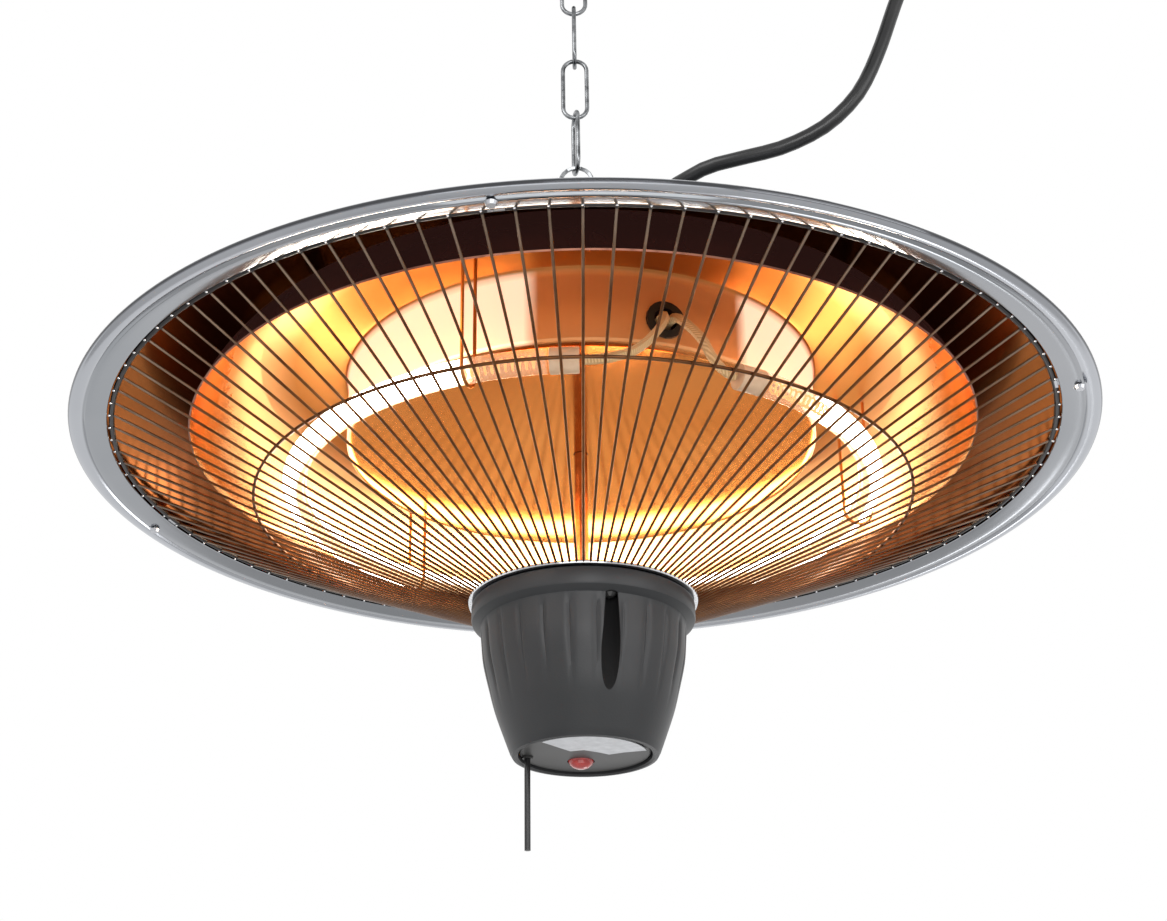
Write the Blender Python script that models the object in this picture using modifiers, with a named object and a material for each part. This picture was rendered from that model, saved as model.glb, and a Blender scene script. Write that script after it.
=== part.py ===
"""Hanging patio heater: a shade with a ring-shaped quartz heater, hung on a chain from the ceiling.

Metres, +Z up. The origin is the middle of the ceiling hook's plate, on the ceiling.
The heater is turned about the Z axis, and the photograph's camera looks along +Y.
Heights of the heater's own pieces are given above the rim plane, where the grille meets the shade.
"""
import math

import bmesh
import bpy
from mathutils import Matrix, Vector

MM = 0.001

# Clearances that neighbours share
FIT = 0.3 * MM
RUNNING = 0.6 * MM
OVERRUN = 2.0 * MM
WELD = 0.005 * MM

# Chain and ceiling hook
LINK_COUNT = 4
LINK_WIRE = 1.0 * MM
LINK_LENGTH = 34.0 * MM
LINK_WIDTH = 13.0 * MM
FIRST_LINK_TURN = math.radians(11)
HOOK_PLATE_RADIUS = 25.0 * MM
HOOK_PLATE_THICKNESS = 4.0 * MM
HOOK_PLATE_HOLE_CIRCLE = 17.0 * MM
HOOK_PLATE_HOLE = 2.3 * MM
HOOK_WIRE = 2.0 * MM
HOOK_DROP = 41.0 * MM
HOOK_BEND = 8.0 * MM
HOOK_TIP = 5.0 * MM
HOOK_NECK_SHARE = 0.8

# Eye bolt on the cap
EYE_RADIUS = 7.0 * MM
EYE_WIRE = 1.0 * MM
EYE_NECK = 14.7 * MM
EYE_SHANK = 2.0 * MM
EYE_SHANK_LENGTH = 25.5 * MM
EYE_COLLAR = 4.0 * MM
EYE_COLLAR_HEIGHT = 1.5 * MM
NUT_ACROSS = 3.9 * MM
NUT_HEIGHT = 3.2 * MM
WASHER_RADIUS = 4.5 * MM
WASHER_THICKNESS = 1.0 * MM

# Cap over the wiring
CAP_TOP = 118.0 * MM
CAP_WALL = 1.6 * MM
CAP_CROWN_RADIUS = 28.0 * MM
CAP_SHOULDER_RADIUS = 35.0 * MM
CAP_SHOULDER_DROP = 5.0 * MM
CAP_SKIRT_RADIUS = 41.0 * MM
CAP_FLANGE_RADIUS = 50.0 * MM
CAP_FLANGE_RISE = 4.0 * MM
CAP_SCREW_COUNT = 3
CAP_SCREW_CIRCLE = 46.5 * MM
CAP_SCREW_TURN = math.radians(30)
CAP_SCREW_SHANK = 1.3 * MM
CAP_SCREW_HEAD = 2.6 * MM
CAP_SCREW_HEAD_HEIGHT = 1.8 * MM
CAP_SCREW_DEPTH = 5.0 * MM

# Shade of spun sheet with a rolled rim
SHEET = 1.0 * MM
RIM_RADIUS = 212.5 * MM
RIM_HEIGHT = 0.4 * MM
RIM_EDGE = 2.6 * MM
BAND_WIDTH = 15.5 * MM
BAND_INNER_RADIUS = RIM_RADIUS - BAND_WIDTH
BAND_LIP = 3.0 * MM
SHADE_TOP = 80.0 * MM
SHADE_FLAT_RADIUS = 54.0 * MM
# Shares of the way from the flat top to the rim, outward and down
SHADE_DOME_SHARES = ((0.0, 0.0), (0.12, 0.07), (0.36, 0.27), (0.66, 0.605), (0.86, 0.855), (0.97, 0.972))

# Reflector pan with a ring-shaped trough
REFLECTOR_SHEET = 0.8 * MM
REFLECTOR_INSET = 32.6 * MM
REFLECTOR_RADIUS = BAND_INNER_RADIUS - REFLECTOR_INSET
REFLECTOR_HEIGHT = 5.0 * MM
TROUGH_HEIGHT = 38.0 * MM
TROUGH_WALL_WIDTH = 28.4 * MM
TROUGH_WIDTH = 38.0 * MM
TROUGH_CORNER = 4.0 * MM
TROUGH_FOOT = 1.5 * MM
TROUGH_OUTER_RADIUS = REFLECTOR_RADIUS - TROUGH_WALL_WIDTH
TROUGH_INNER_RADIUS = TROUGH_OUTER_RADIUS - TROUGH_WIDTH
REFLECTOR_DISC_RADIUS = TROUGH_INNER_RADIUS - TROUGH_FOOT
# Shares of the way from the trough's outer corner to the reflector's lip, outward and down
TROUGH_WALL_SHARES = ((0.0, 0.0), (0.28, 0.12), (0.57, 0.36), (0.82, 0.67), (1.0, 1.0))
SPACER_RADIUS = 3.2 * MM
SPACER_COUNT = 3
SPACER_CIRCLE = (TROUGH_INNER_RADIUS + TROUGH_OUTER_RADIUS) / 2
SPACER_TURN = math.radians(90)

# Quartz tube, its heating coil, its ends and its clips
TUBE_INSET = 21.6 * MM
TUBE_CIRCLE = TROUGH_INNER_RADIUS + TUBE_INSET
TUBE_HEIGHT = -14.8 * MM
TUBE_RADIUS = 4.9 * MM
TUBE_WALL = 1.1 * MM
TUBE_START = math.radians(-55.2)
TUBE_END = math.radians(264.4)
TUBE_STEPS = 44
COIL_CLEARANCE = 0.9 * MM
END_RADIUS = 5.1 * MM
END_GAP = 0.9 * MM
END_ANGLE = math.radians(5.2)
CLIP_WIRE = 0.7 * MM
CLIP_ANGLES = (math.radians(-110), math.radians(10), math.radians(130))

# Leads through the reflector to the tube's ends
LEAD_HOLE_ANGLE = math.radians(-70.5)
LEAD_HOLE_HEIGHT = 15.8 * MM
GROMMET_RADIUS = 6.2 * MM
GROMMET_FLANGE = 7.8 * MM
GROMMET_FLANGE_THICKNESS = 1.4 * MM
GROMMET_BORE = 4.8 * MM
GROMMET_LENGTH = 5.0 * MM
LEAD_RADIUS = 1.9 * MM
LEAD_STEPS = 18
# Shares of each lead's way from the hole to the tube's end: outward, around and down
LEAD_SHARES = (
    (0.0, 0.0, 0.02), (0.44, 0.08, 0.22), (0.9, 0.24, 0.55), (1.0, 0.46, 0.84), (1.0, 0.74, 0.97), (1.0, 1.0, 1.0)
)

# Centre tube that carries the grille's hub and the cup
POST_RADIUS = 2.75 * MM
POST_BORE = 1.6 * MM
POST_NUT_ACROSS = 5.5 * MM
POST_NUT_HEIGHT = 3.5 * MM
POST_END = 1.0 * MM

# Grille of straight wires
WIRE_COUNT = 108
WIRE_TURN = math.radians(-89.4)
WIRE_RADIUS = 0.8 * MM
WIRE_SIDES = 3
GRILLE_RING_WIRE = 1.2 * MM
GRILLE_RING_HEIGHT = 0.8 * MM
MIDDLE_RING_RADIUS = TROUGH_OUTER_RADIUS
MIDDLE_RING_WIRE = 0.8 * MM
HUB_RADIUS = 47.0 * MM
HUB_THICKNESS = 1.5 * MM
GRILLE_CLIP_ANGLES = (math.radians(-97.9), math.radians(-18.1), math.radians(161.9))
GRILLE_CLIP_INSET = 7.5 * MM
GRILLE_CLIP_CIRCLE = BAND_INNER_RADIUS + GRILLE_CLIP_INSET
GRILLE_CLIP_WIDTH = 6.0 * MM
GRILLE_CLIP_REACH = 1.8 * MM
GRILLE_CLIP_THICKNESS = 1.0 * MM
GRILLE_CLIP_SHANK = 1.2 * MM
GRILLE_CLIP_HEAD = 2.3 * MM
GRILLE_CLIP_HEAD_HEIGHT = 1.3 * MM

# Switch cup below the grille
CUP_TOP = -64.8 * MM
CUP_DEPTH = 63.2 * MM
CUP_WALL = 2.2 * MM
CUP_FLOOR = 2.5 * MM
CUP_FLANGE_RADIUS = 45.5 * MM
CUP_FLANGE_HEIGHT = 7.6 * MM
CUP_BODY_RADIUS = 42.0 * MM
CUP_BOTTOM_RADIUS = 28.7 * MM
# Shares of the way from under the flange to the bottom: depth, and radius from bottom to body
CUP_SIDE_SHARES = (
    (0.03, 0.99), (0.15, 0.955), (0.31, 0.89), (0.51, 0.70), (0.66, 0.54), (0.82, 0.31), (0.96, 0.10), (1.0, 0.0)
)
CHANNEL_COUNT = 3
CHANNEL_TURN = math.radians(-74.4)
CHANNEL_CIRCLE = 38.9 * MM
CHANNEL_RADIUS = 3.65 * MM
CHANNEL_WALL = 1.8 * MM
CUP_SCREW_SHANK = 1.5 * MM
CUP_SCREW_HEAD = 2.9 * MM
CUP_SCREW_HEAD_HEIGHT = 2.4 * MM
CUP_SCREW_END = 2.2 * MM

# Bottom cover with its label, lamp and cord
COVER_RECESS = 1.5 * MM
COVER_THICKNESS = 2.0 * MM
COVER_WALL = 1.6 * MM
COVER_WALL_HEIGHT = 6.0 * MM
LABEL_RADIUS = 24.6 * MM
LABEL_THICKNESS = 0.4 * MM
LABEL_START = math.radians(-133)
LABEL_END = math.radians(-13)
# Shares of the label's radius along its inner edge, from its right end to its left end
LABEL_EDGE_SHARES = ((0.62, -0.13), (0.38, -0.02), (0.22, -0.14), (-0.02, -0.28), (-0.24, -0.22))
LENS_PLACE = (-1.8 * MM, 11.5 * MM)
LENS_RADIUS = 5.2 * MM
LENS_HEIGHT = 3.0 * MM
LENS_FLANGE = 6.2 * MM
LENS_FLANGE_THICKNESS = 1.2 * MM
LENS_WALL = 1.2 * MM
LAMP_RADIUS = 2.6 * MM
LAMP_LENGTH = 12.0 * MM
CORD_PLACE = (-23.0 * MM, 4.0 * MM)
BUSHING_RADIUS = 2.1 * MM
BUSHING_DROP = 0.8 * MM
CORD_RADIUS = 1.2 * MM
CORD_DROP = 37.5 * MM

# Pull switch inside the cup
SWITCH_SIZE = (20.0 * MM, 16.0 * MM, 14.0 * MM)
SWITCH_PLACE = (10.0 * MM, 4.0 * MM)
SWITCH_CEILING = 30.0 * MM
BRACKET_THICKNESS = 1.5 * MM
LEVER_PIVOT_GAP = 5.0 * MM
LEVER_THICKNESS = 2.0 * MM
LEVER_WIDTH = 6.0 * MM
LEVER_OVERHANG = 3.5 * MM
LEVER_HUB = 2.6 * MM
LEVER_PIN = 1.0 * MM
EAR_THICKNESS = 1.6 * MM
EAR_RADIUS = 2.8 * MM
BEAD_RADIUS = 2.3 * MM
SPRING_RADIUS = 2.4 * MM
SPRING_WIRE = 0.3 * MM
SPRING_TURNS = 5
SPRING_STEPS = 8
SPRING_REACH = 9.0 * MM

# Terminal block under the cap
BLOCK_SIZE = (24.0 * MM, 13.0 * MM, 12.0 * MM)
BLOCK_ASIDE = 20.0 * MM
BLOCK_WAY = 2.2 * MM

# Mains cable, its gland and its strain relief
CABLE_RADIUS = 3.0 * MM
GLAND_TURN = math.radians(-54)
GLAND_REACH = 38.0 * MM
GLAND_HEIGHT = 101.0 * MM
GLAND_RADIUS = 5.4 * MM
GLAND_INSIDE = 7.0 * MM
GLAND_OUTSIDE = 5.5 * MM
GLAND_COLLAR = 7.0 * MM
GLAND_COLLAR_START = 2.2 * MM
RELIEF_LENGTH = 21.0 * MM
RELIEF_THICK = 5.0 * MM
RELIEF_THIN = 3.5 * MM
RELIEF_STEP = 2.0 * MM
# The free stretch from the strain relief up to the coil, heights above the rim plane
LEAD_ROUTE = (
    (49.9 * MM, -64.0 * MM, 102.1 * MM),
    (55.9 * MM, -68.0 * MM, 102.7 * MM),
    (69.6 * MM, -72.5 * MM, 103.5 * MM),
    (84.3 * MM, -76.0 * MM, 105.4 * MM),
    (99.1 * MM, -79.0 * MM, 111.3 * MM),
    (109.2 * MM, -81.5 * MM, 118.8 * MM),
    (117.6 * MM, -83.5 * MM, 129.1 * MM),
    (126.2 * MM, -84.0 * MM, 148.0 * MM),
    (138.0 * MM, -84.0 * MM, 180.0 * MM),
)
LEAD_POINT_COUNT = 15

# Coil of the spare cable, hung on a small screw hook
SPOOL_PLACE = (118.0 * MM, -84.0 * MM, 252.0 * MM)
SPOOL_INNER = 24.5 * MM
SPOOL_PITCH = 6.6 * MM
SPOOL_START = math.radians(-22)
SPOOL_TURNS_IN = 3.2
SPOOL_END_TURNS = 6.25
SPOOL_STEPS = 24
SPOOL_TIE_ANGLE = math.radians(205)
TIE_WIRE = 0.8 * MM
TIE_CORNER = 3.0 * MM
TAIL_SIDE = 34.0 * MM
TAIL_FORWARD = 26.0 * MM
TAIL_FOOT = 8.0 * MM
TAIL_POINT_COUNT = 9
TAIL_PULL_SHARE = 2.0
CABLE_HOOK_WIRE = 1.25 * MM
CABLE_HOOK_BEND = 8.8 * MM
CABLE_HOOK_TIP = 4.0 * MM
CABLE_HOOK_SEAT = 1.0 * MM
CABLE_HOOK_PLATE = 6.5 * MM
CABLE_HOOK_PLATE_THICKNESS = 2.0 * MM

# Earthed two-pin plug
PLUG_NECK_LENGTH = 24.0 * MM
PLUG_NECK_THIN = 3.8 * MM
PLUG_NECK_THICK = 6.5 * MM
PLUG_LENGTH = 34.0 * MM
PLUG_RADIUS = 18.0 * MM
PLUG_SHOULDER_SHARE = 0.35
PIN_RADIUS = 2.4 * MM
PIN_LENGTH = 19.0 * MM
PIN_SOCKET = 6.0 * MM
PIN_SPACING = 19.0 * MM

SEGMENTS = 48
SMALL_SEGMENTS = 20
TINY_SEGMENTS = 10

# Heights that follow from the chain
LINK_PITCH = LINK_LENGTH - 4 * LINK_WIRE - FIT
LINK_TOP = -HOOK_DROP + HOOK_WIRE + LINK_WIRE + FIT
LINK_SPAN = LINK_LENGTH - 2 * LINK_WIRE
FIRST_LINK_FOOT = LINK_TOP - LINK_SPAN - (LINK_COUNT - 1) * LINK_PITCH
EYE_TOP_HEIGHT = CAP_TOP + FIT + EYE_COLLAR_HEIGHT + EYE_NECK + 2 * EYE_RADIUS
EYE_PIVOT = FIRST_LINK_FOOT + LINK_WIRE + EYE_WIRE + FIT
RIM_PLANE = EYE_PIVOT - EYE_TOP_HEIGHT


for old in list(bpy.data.objects):
    bpy.data.objects.remove(old)

PARTS = bpy.data.collections.new("hanging_patio_heater")
CUTTERS = bpy.data.collections.new("cutters")
bpy.context.scene.collection.children.link(PARTS)
bpy.context.scene.collection.children.link(CUTTERS)


def material(name, color, roughness, metallic=0.0):
    made = bpy.data.materials.new(name)
    made.use_nodes = True
    shader = made.node_tree.nodes["Principled BSDF"]
    shader.inputs["Base Color"].default_value = (*color, 1.0)
    shader.inputs["Roughness"].default_value = roughness
    shader.inputs["Metallic"].default_value = metallic
    return made


STEEL = material("zinc_plated_steel", (0.42, 0.43, 0.45), 0.35, 1.0)
DARK_STEEL = material("dark_steel", (0.10, 0.10, 0.11), 0.4, 0.9)
SHADE_PAINT = material("grey_shade_paint", (0.30, 0.32, 0.34), 0.35, 0.6)
COPPER = material("copper_toned_reflector", (0.75, 0.33, 0.12), 0.15, 1.0)
BLACK_PLASTIC = material("black_plastic", (0.045, 0.045, 0.05), 0.45)
CUP_PLASTIC = material("charcoal_plastic", (0.07, 0.07, 0.075), 0.4)
WIRE_METAL = material("bronze_wire", (0.28, 0.14, 0.07), 0.35, 1.0)
QUARTZ = material("glowing_quartz", (1.0, 0.93, 0.75), 0.2)
CERAMIC = material("white_ceramic", (0.85, 0.80, 0.70), 0.5)
SLEEVE = material("glass_fibre_sleeve", (0.80, 0.62, 0.35), 0.7)
BLACK_RUBBER = material("black_rubber", (0.02, 0.02, 0.02), 0.6)
RED_LENS = material("red_lens", (0.45, 0.02, 0.02), 0.2)
LABEL_FOIL = material("bare_label", (0.60, 0.61, 0.63), 0.4, 0.3)
BRASS = material("brass", (0.70, 0.52, 0.22), 0.3, 1.0)


def at_rim(height):
    return RIM_PLANE + height


def polar(radius, angle, height=0.0):
    return Vector((radius * math.cos(angle), radius * math.sin(angle), height))


def link_object(name, data, look, where=PARTS):
    made = bpy.data.objects.new(name, data)
    where.objects.link(made)
    if look:
        data.materials.append(look)
    return made


def outline_mesh(name, points, closed):
    mesh = bpy.data.meshes.new(name)
    edges = [(i, i + 1) for i in range(len(points) - 1)]
    if closed:
        edges.append((len(points) - 1, 0))
    mesh.from_pydata([(r, 0.0, z) for r, z in points], edges, [])
    return mesh


def turned(name, points, look, steps=SEGMENTS, closed=False, sheet=0.0, side=-1, where=PARTS):
    """Turn an outline about Z. A closed outline, or one that ends on the axis, gives a solid."""
    made = link_object(name, outline_mesh(name, points, closed), None, where)
    screw = made.modifiers.new("turn", "SCREW")
    screw.steps = steps
    screw.render_steps = steps
    screw.use_merge_vertices = True
    screw.merge_threshold = WELD
    screw.use_smooth_shade = True
    if sheet:
        solidify = made.modifiers.new("sheet", "SOLIDIFY")
        solidify.thickness = sheet
        solidify.offset = side
        solidify.use_even_offset = True
    if look:
        made.data.materials.append(look)
    return made


def disc(name, radius, low, high, look, steps=SMALL_SEGMENTS, bore=0.0, where=PARTS):
    """A round bar or ring between two heights, made from an outline."""
    if bore:
        points = [(bore, high), (radius, high), (radius, low), (bore, low)]
        return turned(name, points, look, steps, closed=True, where=where)
    points = [(0.0, high), (radius, high), (radius, low), (0.0, low)]
    return turned(name, points, look, steps, where=where)


def box(name, size, centre, look, where=PARTS):
    mesh = bpy.data.meshes.new(name)
    cage = bmesh.new()
    bmesh.ops.create_cube(cage, size=1.0)
    bmesh.ops.scale(cage, vec=size, verts=cage.verts)
    bmesh.ops.translate(cage, vec=centre, verts=cage.verts)
    cage.to_mesh(mesh)
    cage.free()
    return link_object(name, mesh, look, where)


def ball(name, radius, look):
    mesh = bpy.data.meshes.new(name)
    cage = bmesh.new()
    bmesh.ops.create_uvsphere(cage, u_segments=TINY_SEGMENTS, v_segments=TINY_SEGMENTS // 2, radius=radius)
    cage.to_mesh(mesh)
    cage.free()
    mesh.shade_smooth()
    return link_object(name, mesh, look)


def wire(name, points, radius, look, ring=False, sides=1, where=PARTS):
    """A round bar along a line of points. The sides number is Blender's bevel resolution."""
    curve = bpy.data.curves.new(name, "CURVE")
    curve.dimensions = "3D"
    curve.bevel_depth = radius
    curve.bevel_resolution = sides
    curve.use_fill_caps = True
    spline = curve.splines.new("POLY")
    spline.points.add(len(points) - 1)
    for spot, place in zip(spline.points, points):
        spot.co = (*place, 1.0)
    spline.use_cyclic_u = ring
    spline.use_smooth = True
    made = bpy.data.objects.new(name, curve)
    where.objects.link(made)
    if look:
        curve.materials.append(look)
    return made


def plate(name, outline, low, high, look):
    """A flat outline in XY, as thick as the two heights say."""
    curve = bpy.data.curves.new(name, "CURVE")
    curve.dimensions = "2D"
    curve.fill_mode = "BOTH"
    curve.extrude = (high - low) / 2
    spline = curve.splines.new("POLY")
    spline.points.add(len(outline) - 1)
    for spot, place in zip(spline.points, outline):
        spot.co = (place[0], place[1], 0.0, 1.0)
    spline.use_cyclic_u = True
    made = bpy.data.objects.new(name, curve)
    made.location = (0.0, 0.0, (low + high) / 2)
    PARTS.objects.link(made)
    curve.materials.append(look)
    return made


def as_mesh(source):
    """Replace an object by one with its finished shape as plain mesh, welded at its caps."""
    bpy.context.view_layer.update()
    finished = source.evaluated_get(bpy.context.evaluated_depsgraph_get())
    mesh = bpy.data.meshes.new_from_object(finished)
    cage = bmesh.new()
    cage.from_mesh(mesh)
    bmesh.ops.remove_doubles(cage, verts=cage.verts, dist=WELD)
    cage.to_mesh(mesh)
    cage.free()
    name = source.name
    home = source.users_collection[0]
    place = source.matrix_world.copy()
    bpy.data.objects.remove(source)
    made = bpy.data.objects.new(name, mesh)
    home.objects.link(made)
    made.matrix_world = place
    return made


def combine(target, other, operation):
    """Join to the target, or cut from it, another object that stays as a hidden cutter."""
    if other.name in PARTS.objects:
        PARTS.objects.unlink(other)
        CUTTERS.objects.link(other)
    other.hide_render = True
    other.display_type = "WIRE"
    step = target.modifiers.new(operation.lower(), "BOOLEAN")
    step.operation = operation
    step.object = other
    step.solver = "EXACT"
    return target


def cut(target, other):
    return combine(target, other, "DIFFERENCE")


def join(target, other):
    return combine(target, other, "UNION")


def bar_cutter(name, radius, low, high, place, steps=SMALL_SEGMENTS):
    made = disc(name, radius, low, high, None, steps, where=CUTTERS)
    made.location = place
    return made


def hexagon(name, across, low, high, bore, place, look):
    made = disc(name, across, low, high, look, 6)
    made.location = place
    for face in made.data.polygons:
        face.use_smooth = False
    made.modifiers["turn"].use_smooth_shade = False
    hole = bar_cutter(name + "_bore", bore, low - OVERRUN, high + OVERRUN, place, TINY_SEGMENTS)
    return cut(made, hole)


def carrier(name, place, parent=None):
    """An empty on a joint's axis, which carries the pieces that move about it."""
    made = bpy.data.objects.new(name, None)
    made.location = place
    PARTS.objects.link(made)
    if parent:
        hang(made, parent)
    return made


def hang(piece, parent):
    piece.parent = parent
    piece.matrix_parent_inverse = Matrix.Translation(-Vector(parent.location))
    return piece


def arc_points(circle, start, end, height, count):
    return [polar(circle, start + (end - start) * i / count, height) for i in range(count + 1)]


def smooth_route(points, count):
    """Evenly read points from a smooth curve through a list of places."""
    places = [Vector(point) for point in points]
    ends = [2 * places[0] - places[1]] + places + [2 * places[-1] - places[-2]]
    fine = []
    steps = 16
    for k in range(1, len(ends) - 2):
        a, b, c, d = ends[k - 1], ends[k], ends[k + 1], ends[k + 2]
        for i in range(steps):
            t = i / steps
            fine.append(0.5 * (2 * b + (c - a) * t + (2 * a - 5 * b + 4 * c - d) * t * t
                               + (3 * b - a - 3 * c + d) * t ** 3))
    fine.append(places[-1])
    lengths = [0.0]
    for before, after in zip(fine, fine[1:]):
        lengths.append(lengths[-1] + (after - before).length)
    result = []
    k = 0
    for i in range(count):
        want = lengths[-1] * i / (count - 1)
        while k < len(fine) - 2 and lengths[k + 1] < want:
            k += 1
        part = (want - lengths[k]) / (lengths[k + 1] - lengths[k])
        result.append(fine[k].lerp(fine[k + 1], part))
    return result


def route_length(points):
    return sum((b - a).length for a, b in zip(points, points[1:]))


def on_shade(radius):
    """Height of the shade's outer face above the rim plane at a radius."""
    run = RIM_RADIUS - SHADE_FLAT_RADIUS
    fall = SHADE_TOP - RIM_HEIGHT - RIM_EDGE
    places = [(SHADE_FLAT_RADIUS + run * x, SHADE_TOP - fall * y) for x, y in SHADE_DOME_SHARES]
    places.append((RIM_RADIUS, RIM_HEIGHT + RIM_EDGE))
    for (r0, z0), (r1, z1) in zip(places, places[1:]):
        if r0 <= radius <= r1:
            return z0 + (z1 - z0) * (radius - r0) / (r1 - r0)
    return SHADE_TOP


# Chain and ceiling hook

def hook_points(drop, bend, tip, plate_thickness, wire_radius):
    """Centre line of a swan-necked hook in the YZ plane, from inside its plate to its tip."""
    centre = -drop + bend
    neck_top = -plate_thickness - bend / 2
    points = [(0.0, 0.0, -plate_thickness + wire_radius / 2), (0.0, 0.0, neck_top)]
    neck = neck_top - centre
    for i in range(1, 7):
        t = i / 6
        points.append((0.0, bend * (1 - math.cos(math.pi * t)) / 2, neck_top - neck * HOOK_NECK_SHARE * t))
    for i in range(13):
        angle = -math.pi * i / 12
        points.append((0.0, bend * math.cos(angle), centre + bend * math.sin(angle)))
    points.append((0.0, -bend, centre + tip))
    return points


def hook_with_plate(name, place, wire_radius, drop, bend, tip, plate_radius, plate_thickness):
    made = disc(name, plate_radius, -plate_thickness, 0.0, STEEL)
    made.location = place
    rod = wire(name + "_rod", hook_points(drop, bend, tip, plate_thickness, wire_radius), wire_radius, None)
    rod.location = place
    return join(made, as_mesh(rod))


def ceiling_hook():
    made = hook_with_plate("ceiling_hook", (0.0, 0.0, 0.0), HOOK_WIRE, HOOK_DROP, HOOK_BEND, HOOK_TIP,
                           HOOK_PLATE_RADIUS, HOOK_PLATE_THICKNESS)
    for side in (-1, 1):
        place = (side * HOOK_PLATE_HOLE_CIRCLE, 0.0, 0.0)
        hole = bar_cutter("ceiling_screw_hole", HOOK_PLATE_HOLE, -HOOK_PLATE_THICKNESS - OVERRUN, OVERRUN,
                          place, TINY_SEGMENTS)
        cut(made, hole)


def link_points(foot):
    """Centre line of an oblong link in the YZ plane that stands on a height."""
    bend = LINK_WIDTH / 2 - LINK_WIRE
    points = []
    for end, middle in ((0, foot + bend), (1, foot + LINK_SPAN - bend)):
        for i in range(7):
            angle = math.pi * (1 + end) + math.pi * i / 6
            points.append(Vector((0.0, bend * math.cos(angle), middle + bend * math.sin(angle))))
    return points


def chain(parent):
    """Links 1 to 4 from the heater up. Each hangs from the one above, which lies crosswise."""
    holder = parent
    for number in range(LINK_COUNT, 0, -1):
        foot = FIRST_LINK_FOOT + (number - 1) * LINK_PITCH
        pivot = Vector((0.0, 0.0, foot + LINK_SPAN))
        holder = carrier(f"link_{number}_axis", pivot, holder)
        link = wire(f"chain_link_{number}", [p - pivot for p in link_points(foot)], LINK_WIRE, DARK_STEEL, ring=True)
        turn = FIRST_LINK_TURN if number == 1 else math.radians(90) * ((number + 1) % 2)
        link.rotation_euler = (0.0, 0.0, turn)
        link.location = pivot
        hang(link, holder)
    return holder


# Heater's top

def eye_bolt():
    bpy.ops.mesh.primitive_torus_add(major_radius=EYE_RADIUS, minor_radius=EYE_WIRE,
                                     major_segments=SMALL_SEGMENTS, minor_segments=TINY_SEGMENTS // 2)
    made = bpy.context.object
    made.name = "eye_bolt"
    made.data.name = "eye_bolt"
    made.data.transform(Matrix.Rotation(math.radians(90), 4, "X"))
    made.data.shade_smooth()
    for home in list(made.users_collection):
        home.objects.unlink(made)
    PARTS.objects.link(made)
    made.data.materials.append(STEEL)
    made.location = (0.0, 0.0, at_rim(EYE_TOP_HEIGHT) - EYE_RADIUS)
    collar_foot = CAP_TOP + FIT
    ring_foot = EYE_TOP_HEIGHT - 2 * EYE_RADIUS
    shank = [
        (0.0, ring_foot), (EYE_SHANK, ring_foot), (EYE_SHANK, collar_foot + EYE_COLLAR_HEIGHT),
        (EYE_COLLAR, collar_foot + EYE_COLLAR_HEIGHT), (EYE_COLLAR, collar_foot),
        (EYE_SHANK, collar_foot), (EYE_SHANK, ring_foot - EYE_SHANK_LENGTH), (0.0, ring_foot - EYE_SHANK_LENGTH),
    ]
    stem = turned("eye_shank", shank, None, TINY_SEGMENTS, where=CUTTERS)
    stem.location = (0.0, 0.0, RIM_PLANE)
    return join(made, stem)


def eye_fixings():
    under = CAP_TOP - CAP_WALL - FIT
    washer = disc("eye_washer", WASHER_RADIUS, under - WASHER_THICKNESS, under, STEEL, bore=EYE_SHANK + FIT)
    washer.location = (0.0, 0.0, RIM_PLANE)
    high = under - WASHER_THICKNESS - FIT
    nut = hexagon("eye_nut", NUT_ACROSS, high - NUT_HEIGHT, high, EYE_SHANK + FIT, (0.0, 0.0, RIM_PLANE), STEEL)
    return [washer, nut]


def cap_screw_places():
    return [polar(CAP_SCREW_CIRCLE, CAP_SCREW_TURN + 2 * math.pi * i / CAP_SCREW_COUNT, RIM_PLANE)
            for i in range(CAP_SCREW_COUNT)]


def gland_frame():
    """Turns the gland's own +Z, along the cable, to its place on the cap."""
    out = Matrix.Rotation(GLAND_TURN, 4, "Z") @ Matrix.Rotation(math.radians(90), 4, "Y")
    return Matrix.Translation(polar(GLAND_REACH, GLAND_TURN, at_rim(GLAND_HEIGHT))) @ out


def top_cap():
    foot = SHADE_TOP + FIT + CAP_WALL
    outline = [
        (EYE_SHANK + FIT, CAP_TOP), (CAP_CROWN_RADIUS, CAP_TOP),
        ((CAP_CROWN_RADIUS + CAP_SHOULDER_RADIUS) / 2 + CAP_WALL / 2, CAP_TOP - CAP_SHOULDER_DROP / 4),
        (CAP_SHOULDER_RADIUS, CAP_TOP - CAP_SHOULDER_DROP), (CAP_SKIRT_RADIUS, foot + CAP_FLANGE_RISE),
        (CAP_SKIRT_RADIUS + CAP_WALL, foot + CAP_FLANGE_RISE / 4), (CAP_SKIRT_RADIUS + 2 * CAP_WALL, foot),
        (CAP_FLANGE_RADIUS, foot),
    ]
    made = turned("top_cap", outline, BLACK_PLASTIC, SEGMENTS // 2, sheet=CAP_WALL)
    made.location = (0.0, 0.0, RIM_PLANE)
    for place in cap_screw_places():
        cut(made, bar_cutter("cap_screw_hole", CAP_SCREW_SHANK + FIT, SHADE_TOP - OVERRUN, foot + OVERRUN, place,
                             TINY_SEGMENTS))
    hole = disc("gland_hole", GLAND_RADIUS + FIT, -GLAND_INSIDE, GLAND_OUTSIDE, None, TINY_SEGMENTS, where=CUTTERS)
    hole.matrix_world = gland_frame()
    return cut(made, hole)


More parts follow.
